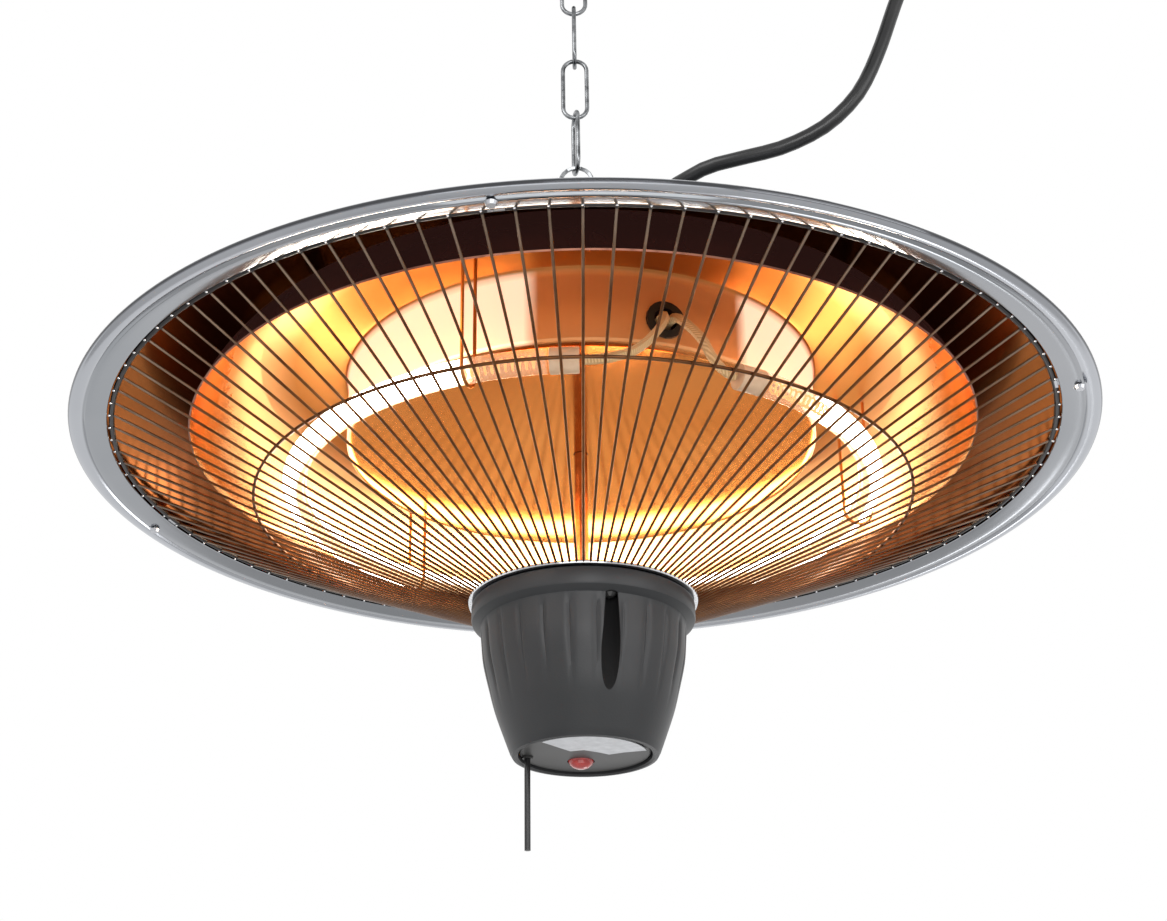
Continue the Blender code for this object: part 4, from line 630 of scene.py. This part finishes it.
def spool_route():
    """The spare lead: a short straight start, the coil, and a soft bow down into the plug."""
    sweep = SPOOL_LAST - SPOOL_FIRST
    count = round(sweep / TURN * 24)
    turns = [spool_point(SPOOL_FIRST + sweep * i / count) for i in range(count + 1)]
    start = turns[0] - 0.006 * (turns[1] - turns[0]).normalized()
    top, foot = turns[-1], PLUG_TOP + Vector((0.0, 0.0, 0.0063))
    leave, arrive = Vector((-0.068, 0.0, 0.0)), Vector((0.0, 0.0, -0.068))
    tail = []
    for i in range(1, 17):
        t = i / 16
        tail.append((2 * t ** 3 - 3 * t * t + 1) * top + (t ** 3 - 2 * t * t + t) * leave
                    + (3 * t * t - 2 * t ** 3) * foot + (t ** 3 - t * t) * arrive)
    return [start] + turns + tail + [PLUG_TOP + Vector((0.0, 0.0, 0.0003))]


def gland_frame():
    """Turns +Z to the way that the lead leaves the cap."""
    out = Matrix.Rotation(LEAD_WAY, 4, "Z") @ Matrix.Rotation(90 * DEG, 4, "Y")
    return Matrix.Translation(around(38, LEAD_WAY, 101)) @ out


def lead_route():
    """The lead's free stretch, from the strain relief to the coil's start."""
    gland = gland_frame()
    start = gland @ Vector((0.0, 0.0, 0.0271))
    straight = gland @ Vector((0.0, 0.0, 0.0331))
    free = [(49.9, -64.0, 102.1), (55.9, -68.0, 102.7), (69.6, -72.5, 103.5),
            (84.3, -76.0, 105.4), (99.1, -79.0, 111.3), (109.2, -81.5, 118.8),
            (117.6, -83.5, 129.1), (126.2, -84.0, 148.0), (138.0, -84.0, 180.0)]
    coil = spool_route()
    heading = (coil[1] - coil[0]).normalized()
    end = coil[0] - 0.0003 * heading
    route = [straight] + [Vector((x * MM, y * MM, RIM + z * MM)) for x, y, z in free]
    return [start] + even_route(route + [end - 0.006 * heading], 30) + [end]


def free_cord(name, route, radius, look, body, nodes):
    """A cord as one open curve, round and capped."""
    made = curve_along(name, route, radius, 4)
    made.data.splines[0].use_smooth = True
    made.data.materials.append(look)
    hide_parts(*nodes)
    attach(made, body)
    return made


def length_of(route):
    return sum((b - a).length for a, b in zip(route, route[1:]))


def make_cords(rubber):
    lead = lead_route()
    piece = free_cord("mains_lead", lead, LEAD_RADIUS, rubber, "heater",
                      ["mains_cable"])
    round(length_of(lead), 3)
    coil = spool_route()
    piece = free_cord("spare_lead_coil", coil, LEAD_RADIUS, rubber, "ceiling",
                      ["mains_coil"])
    round(length_of(coil), 3)
    low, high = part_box("pull_cord")
    drop = [Vector((CORD_PLACE.x, CORD_PLACE.y, high.z + (low.z - high.z) * i / 14))
            for i in range(15)]
    piece = free_cord("pull_string", drop, CORD_RADIUS, rubber, "pull",
                      ["pull_cord"])
    round(length_of(drop), 4)


# The heater's own pieces, from the shade down, and the chain over it

def shade(paint, inside):
    """Dome, rolled bead and the band under the rim, in one skin."""
    dome = soften([(54, 80), (73, 74.6), (111, 59.2), (158.6, 33.4), (190.3, 14.2),
                   (207.7, 5.2)], 6)
    roll = [(209.6, 4.15), (211.0, 3.3), (211.9, 2.6), (212.35, 2.0), (212.45, 1.4),
            (212.2, 0.8), (211.5, 0.35), (210.4, 0.08), (209.2, 0.02), (208.0, 0.12),
            (207.2, 0.4), (206.7, 0.8), (206.35, 0.9), (206.0, 0.7), (205.5, 0.3), (204.8, 0.2)]
    band = [(203, 0.5), (201, 1.0), (199, 1.48), (197.8, 1.8), (197.2, 2.0), (197, 2.3), (197, 3)]
    piece = spin_outline(mm([(3.1, 80)] + dome + roll + band), 240)
    piece.data.materials.append(paint)
    piece.data.materials.append(inside)
    give_wall(1.0 * MM, inner_slot=1)
    settle("shade_shell", None, "heater", ["shade"])


def reflector(copper, back):
    """Middle plate and trough, with the hole for the tube's leads in the trough's inner wall."""
    plate = [(3.1, 5)] + [(20 + 15 * i, 5) for i in range(6)] + [(96, 5), (97.4, 5.4)]
    inner_wall = [(98, 6.4), (98, 14), (98, 24), (98, 33), (98.6, 35.6), (100, 37.3)]
    roof = [(102.5, 38), (112, 38), (124, 38)]
    outer_wall = soften([(136, 38), (143.95, 34.04), (152.2, 26.1), (159.3, 15.9),
                         (163.6, 6.2)], 5)
    outline = plate + inner_wall + roof + outer_wall + [(164.4, 5.1)]
    piece = spin_outline(mm(outline), 192)
    piece.data.materials.append(back)
    piece.data.materials.append(copper)
    bpy.ops.object.mode_set(mode="EDIT")
    bpy.ops.mesh.select_all(action="SELECT")
    bpy.ops.mesh.flip_normals()
    bpy.ops.object.mode_set(mode="OBJECT")
    give_wall(0.8 * MM, inner_slot=1)
    hole = around(98, LEAD_WIRE_WAY, 15.8)
    way = 0.006 * Vector((math.cos(LEAD_WIRE_WAY), math.sin(LEAD_WIRE_WAY), 0.0))
    combine("DIFFERENCE", lambda: bar_between(hole - way, hole + way, 0.0065, 32))
    settle("reflector_pan", None, "heater", ["reflector"])


def grille(wire_look, chrome):
    """Straight wires with two rings, the hub plate, and the bright welds at the wires' ends."""
    outer, inner = around(195.2, FIRST_WIRE, 3.2), around(45.6, FIRST_WIRE, -63.95)
    wire = bent_wire([outer, outer.lerp(inner, 0.5), inner], 0.58 * MM, rounding=2)
    wires = copies_round(wire, WIRE_COUNT)
    circle = [TURN * i / 216 for i in range(216)]
    outer_ring = bent_wire([around(195.2, a, 3.4) for a in circle], 1.15 * MM, ring=True)
    middle_ring = bent_wire([around(136, a, -22.3) for a in circle], 0.7 * MM, ring=True)
    join(wires + [outer_ring, middle_ring])
    settle("grille_wires", wire_look, "heater", ["grille"], smooth=60.0)
    spin_outline(mm([(3.1, -63.05), (44.5, -63.05), (46.6, -63.15), (47, -63.7), (46.6, -64.3),
                     (44.5, -64.45), (3.1, -64.45), (3.1, -63.05)]), 96)
    settle("grille_hub_plate", chrome, "heater")
    clear()
    bpy.ops.mesh.primitive_ico_sphere_add(subdivisions=2, radius=0.6 * MM,
                                          location=around(196.1, FIRST_WIRE, 2.5))
    bpy.ops.object.transform_apply(location=True)
    join(copies_round(bpy.context.object, WIRE_COUNT))
    settle("grille_weld_spots", chrome, "heater", smooth=60.0)


def tube_line(first, last, count):
    return [around(TUBE_RADIUS, first + (last - first) * i / count, TUBE_HEIGHT)
            for i in range(count + 1)]


def tube(quartz, filament, clay):
    """The ring-shaped tube, the filament's turns in it, and its two ceramic ends."""
    first, last = -55.2 * DEG, 264.4 * DEG
    bent_wire(tube_line(first, last, 160), 4.85 * MM, rounding=6)
    settle("lit_quartz_tube", quartz, "heater", ["quartz_tube"], smooth=60.0)
    turns, steps, curl_radius = 250, 8, 2.3
    route = []
    for i in range(turns * steps + 1):
        angle = first + 2 * DEG + (last - first - 4 * DEG) * i / (turns * steps)
        curl = TURN * i / steps
        route.append(around(TUBE_RADIUS + curl_radius * math.cos(curl), angle,
                            TUBE_HEIGHT + curl_radius * math.sin(curl)))
    bent_wire(route, 0.42 * MM, rounding=1)
    settle("filament_coil", filament, "heater", ["heating_coil"], smooth=60.0)
    for word, start, end in (("right", -55.63, -60.83), ("left", 264.83, 270.03)):
        bent_wire(tube_line(start * DEG, end * DEG, 8), 5.05 * MM, rounding=6)
        round_edges(0.5 * MM)
        settle(f"tube_end_cap_{word}", clay, "heater", [f"tube_end_{word}"],
               smooth=50.0)


def channel_bar(angle, start, end, radius):
    """An upright cylinder on a screw channel's axis."""
    bar_between(around(CHANNEL_RADIUS, angle, start), around(CHANNEL_RADIUS, angle, end),
                radius, 40)


def channel_wall(angle, core):
    """The round wall of a screw channel, kept within the cup's own outline."""
    channel_bar(angle, -67, -130, 5.25 * MM)
    combine("INTERSECT", lambda: spin_outline(mm(core), 96))


def cup(plastic):
    """A fluted shell with three screw channels sunk into it, each with its own round wall."""
    side = soften([(41.87, -74.07), (41.4, -80.74), (40.54, -89.64), (38.0, -100.8),
                   (35.88, -109.1), (32.82, -118.0), (29.9, -126.0)], 4)
    flange = [(3.1, -64.8), (44.6, -64.8), (45.3, -65.3), (45.5, -66.1), (45.5, -71.2),
              (45.2, -72.1), (43.6, -73.1)]
    foot = [(28.9, -127.8), (27.6, -128.0), (26.6, -127.4), (26.5, -124.8)]
    flute_cup(spin_outline(mm(flange + side + foot), 240))
    give_wall(1.6 * MM)
    core = ([(0.0, -66)] + [(r - 0.7, z) for r, z in side[1:]]
            + [(28.2, -127.6), (0.0, -127.6)])
    for angle in CHANNEL_ANGLES:
        combine("UNION", lambda: channel_wall(angle, core))
        combine("DIFFERENCE", lambda: channel_bar(angle, -72.4, -133, 3.65 * MM))
    settle("fluted_cup", plastic, "heater", ["cup_housing"])


def flute_cup(piece):
    """Presses 24 shallow flutes into the side, deepest below the flange and fading out
    towards the foot."""
    top, foot = -74.3, -111.8
    depth, width, inmost = 0.85 * MM, 0.085, 0.03
    for vertex in piece.data.vertices:
        x, y, z = vertex.co
        radius, height = math.hypot(x, y), (z - RIM) / MM
        if foot < height < top and radius > inmost:
            phase = (math.atan2(y, x) / (15 * DEG)) % 1.0
            groove = math.exp(-((phase - 0.5) / width) ** 2)
            fade = min(1.0, (top - height) / 4.0) * min(1.0, (height - foot) / 22.0)
            scale = 1 - depth * groove * fade / radius
            vertex.co = (x * scale, y * scale, z)


def cover(plastic, lens_look):
    """The cup's bottom cover, with holes for the lens, the cord and the screws, and the lens."""
    spin_outline(mm([(0, -126.4), (24.8, -126.4), (25.2, -126.7), (25.6, -126.5), (26.1, -126.0),
                     (26.1, -118.6), (24.6, -118.6), (24.6, -124.4), (0, -124.4)]), 120)
    low, high = Vector((0, 0, RIM - 0.130)), Vector((0, 0, RIM - 0.116))
    for hole, radius, sides in ((LENS_PLACE, 5.5 * MM, 40), (CORD_PLACE, 2.4 * MM, 24)):
        combine("DIFFERENCE", lambda: bar_between(hole + low, hole + high, radius, sides))
    for angle in CHANNEL_ANGLES:
        combine("DIFFERENCE", lambda: channel_bar(angle, -130, -116, 5.6 * MM))
    settle("cup_cover", plastic, "heater", ["cup_bottom"])
    dome = [(0.0, -129.5), (1.6, -129.35), (3.1, -128.8), (4.3, -127.9), (5.0, -126.9),
            (5.2, -126.0), (5.2, -124.2), (6.2, -124.2), (6.2, -123.0), (4.0, -123.0),
            (4.0, -126.2), (2.4, -127.0), (0.0, -127.3)]
    spin_outline(mm(dome), 48, LENS_PLACE)
    settle("pilot_light_lens", lens_look, "heater", ["pilot_lens"])


def link_route(foot, top, turn):
    """An oblong link's line between the middles of its end wires."""
    half, count = 5.5 * MM, 12
    made = []
    for end, middle in ((0, foot + half), (1, top - half)):
        for i in range(count + 1):
            angle = math.pi * (1 + end) + math.pi * i / count
            side = half * math.cos(angle)
            made.append(Vector((-side * math.sin(turn), side * math.cos(turn),
                                middle + half * math.sin(angle))))
    return made


def chain(steel):
    """Four links from the eye up, crosswise in turn, the lowest a little askew."""
    lowest, pitch, height = -0.1588, 0.0297, 0.032
    for number, turn in enumerate((11 * DEG, 90 * DEG, 0.0, 90 * DEG)):
        foot = lowest + pitch * number
        word = number + 1
        bent_wire(link_route(foot, foot + height, turn), 1.0 * MM, ring=True, rounding=4)
        settle(f"oblong_link_{word}", steel, f"link_{word}", [f"chain_link_{word}"],
               smooth=60.0)


def repaint(look, *nodes):
    """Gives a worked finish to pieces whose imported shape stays."""
    for node in nodes:
        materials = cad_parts[node].data.materials
        materials.clear()
        materials.append(look)


# Surroundings

def pale_floor():
    clear()
    bpy.ops.mesh.primitive_plane_add(size=4.6, location=(0.0, 0.0, -1.9))
    ground = bpy.context.object
    ground.name = "pale_floor"
    coat = Coat("pale_floor")
    ground.data.materials.append(coat.finish(Base_Color=(0.92, 0.92, 0.92), Roughness=0.9))


def either(tree, first, second):
    """A socket that is one when either of two is."""
    made = tree.nodes.new("ShaderNodeMath")
    made.operation = "MAXIMUM"
    tree.links.new(first, made.inputs[0])
    tree.links.new(second, made.inputs[1])
    return made.outputs[0]


def white_world():
    """White to the camera and in mirrors, and dimmer as a light."""
    world = bpy.data.worlds.new("soft_studio")
    bpy.context.scene.world = world
    world.use_nodes = True
    tree = world.node_tree
    back = tree.nodes["Background"]
    back.inputs["Color"].default_value = (1.0, 1.0, 1.0, 1.0)
    rays = tree.nodes.new("ShaderNodeLightPath").outputs
    seen = either(tree, rays["Is Camera Ray"], rays["Is Transmission Ray"])
    level = tree.nodes.new("ShaderNodeMapRange")
    level.inputs["To Min"].default_value = 0.6
    level.inputs["To Max"].default_value = 1.0
    tree.links.new(either(tree, seen, rays["Is Glossy Ray"]), level.inputs["Value"])
    tree.links.new(level.outputs["Result"], back.inputs["Strength"])


def soft_lamps():
    for place, size, power in (((-0.9, -1.0, 0.35), 0.8, 8.0), ((1.0, -0.9, -0.2), 0.9, 6.0),
                               ((0.0, -0.6, -1.5), 0.9, 3.0), ((0.15, -1.5, -0.25), 0.6, 7.0),
                               ((0.42, 1.7, -1.5), 0.34, 1.2)):
        clear()
        bpy.ops.object.light_add(type="AREA", location=place)
        lamp = bpy.context.object
        lamp.data.size = size
        lamp.data.energy = power
        lamp.visible_camera = False
        way = Vector((0.0, 0.0, RIM)) - Vector(place)
        lamp.rotation_euler = way.to_track_quat("-Z", "Y").to_euler()


bpy.context.scene.view_settings.view_transform = "Standard"
set_camera()
RUBBER = black_rubber()
make_cords(RUBBER)
ZINC, CHAIN, BLACK = zinc_plate(), chain_steel(), black_plastic()
CHARCOAL, FOIL, BRASS = charcoal_plastic(), label_foil(), brass()
CLAY, QUARTZ, SLEEVE = ceramic(), lit_quartz(), woven_sleeve()
shade(shade_paint(), copper_inside())
COPPER = copper_mirror()
reflector(COPPER, copper_back())
grille(bronze_wire(), hub_chrome())
tube(QUARTZ, hot_filament(), CLAY)
cup(CHARCOAL)
cover(BLACK, red_lens())
chain(CHAIN)
repaint(ZINC, "ceiling_hook", "cable_hook", "eye_washer", "eye_nut", "cap_screw_1", "cap_screw_2",
        "cap_screw_3", "reflector_spacer_1", "reflector_spacer_2", "reflector_spacer_3",
        "tube_nut_top", "tube_nut_cup", "grille_clip_1", "grille_clip_2", "grille_clip_3",
        "switch_bracket", "lever_pin", "return_spring")
repaint(BLACK, "coil_tie", "top_cap", "cable_gland", "cup_screw_1", "cup_screw_2", "cup_screw_3",
        "cord_bushing", "switch_body")
repaint(RUBBER, "plug_body", "strain_relief", "lead_grommet")
repaint(BRASS, "plug_pin_left", "plug_pin_right", "cord_bead", "switch_lever")
repaint(COPPER, "tube_clip_1", "tube_clip_2", "tube_clip_3")
repaint(SLEEVE, "lead_left", "lead_right")
repaint(CHAIN, "eye_bolt")
repaint(CLAY, "terminal_block")
repaint(FOIL, "label_plate")
repaint(QUARTZ, "pilot_lamp")
repaint(post_copper(), "centre_tube")
pale_floor()
white_world()
soft_lamps()
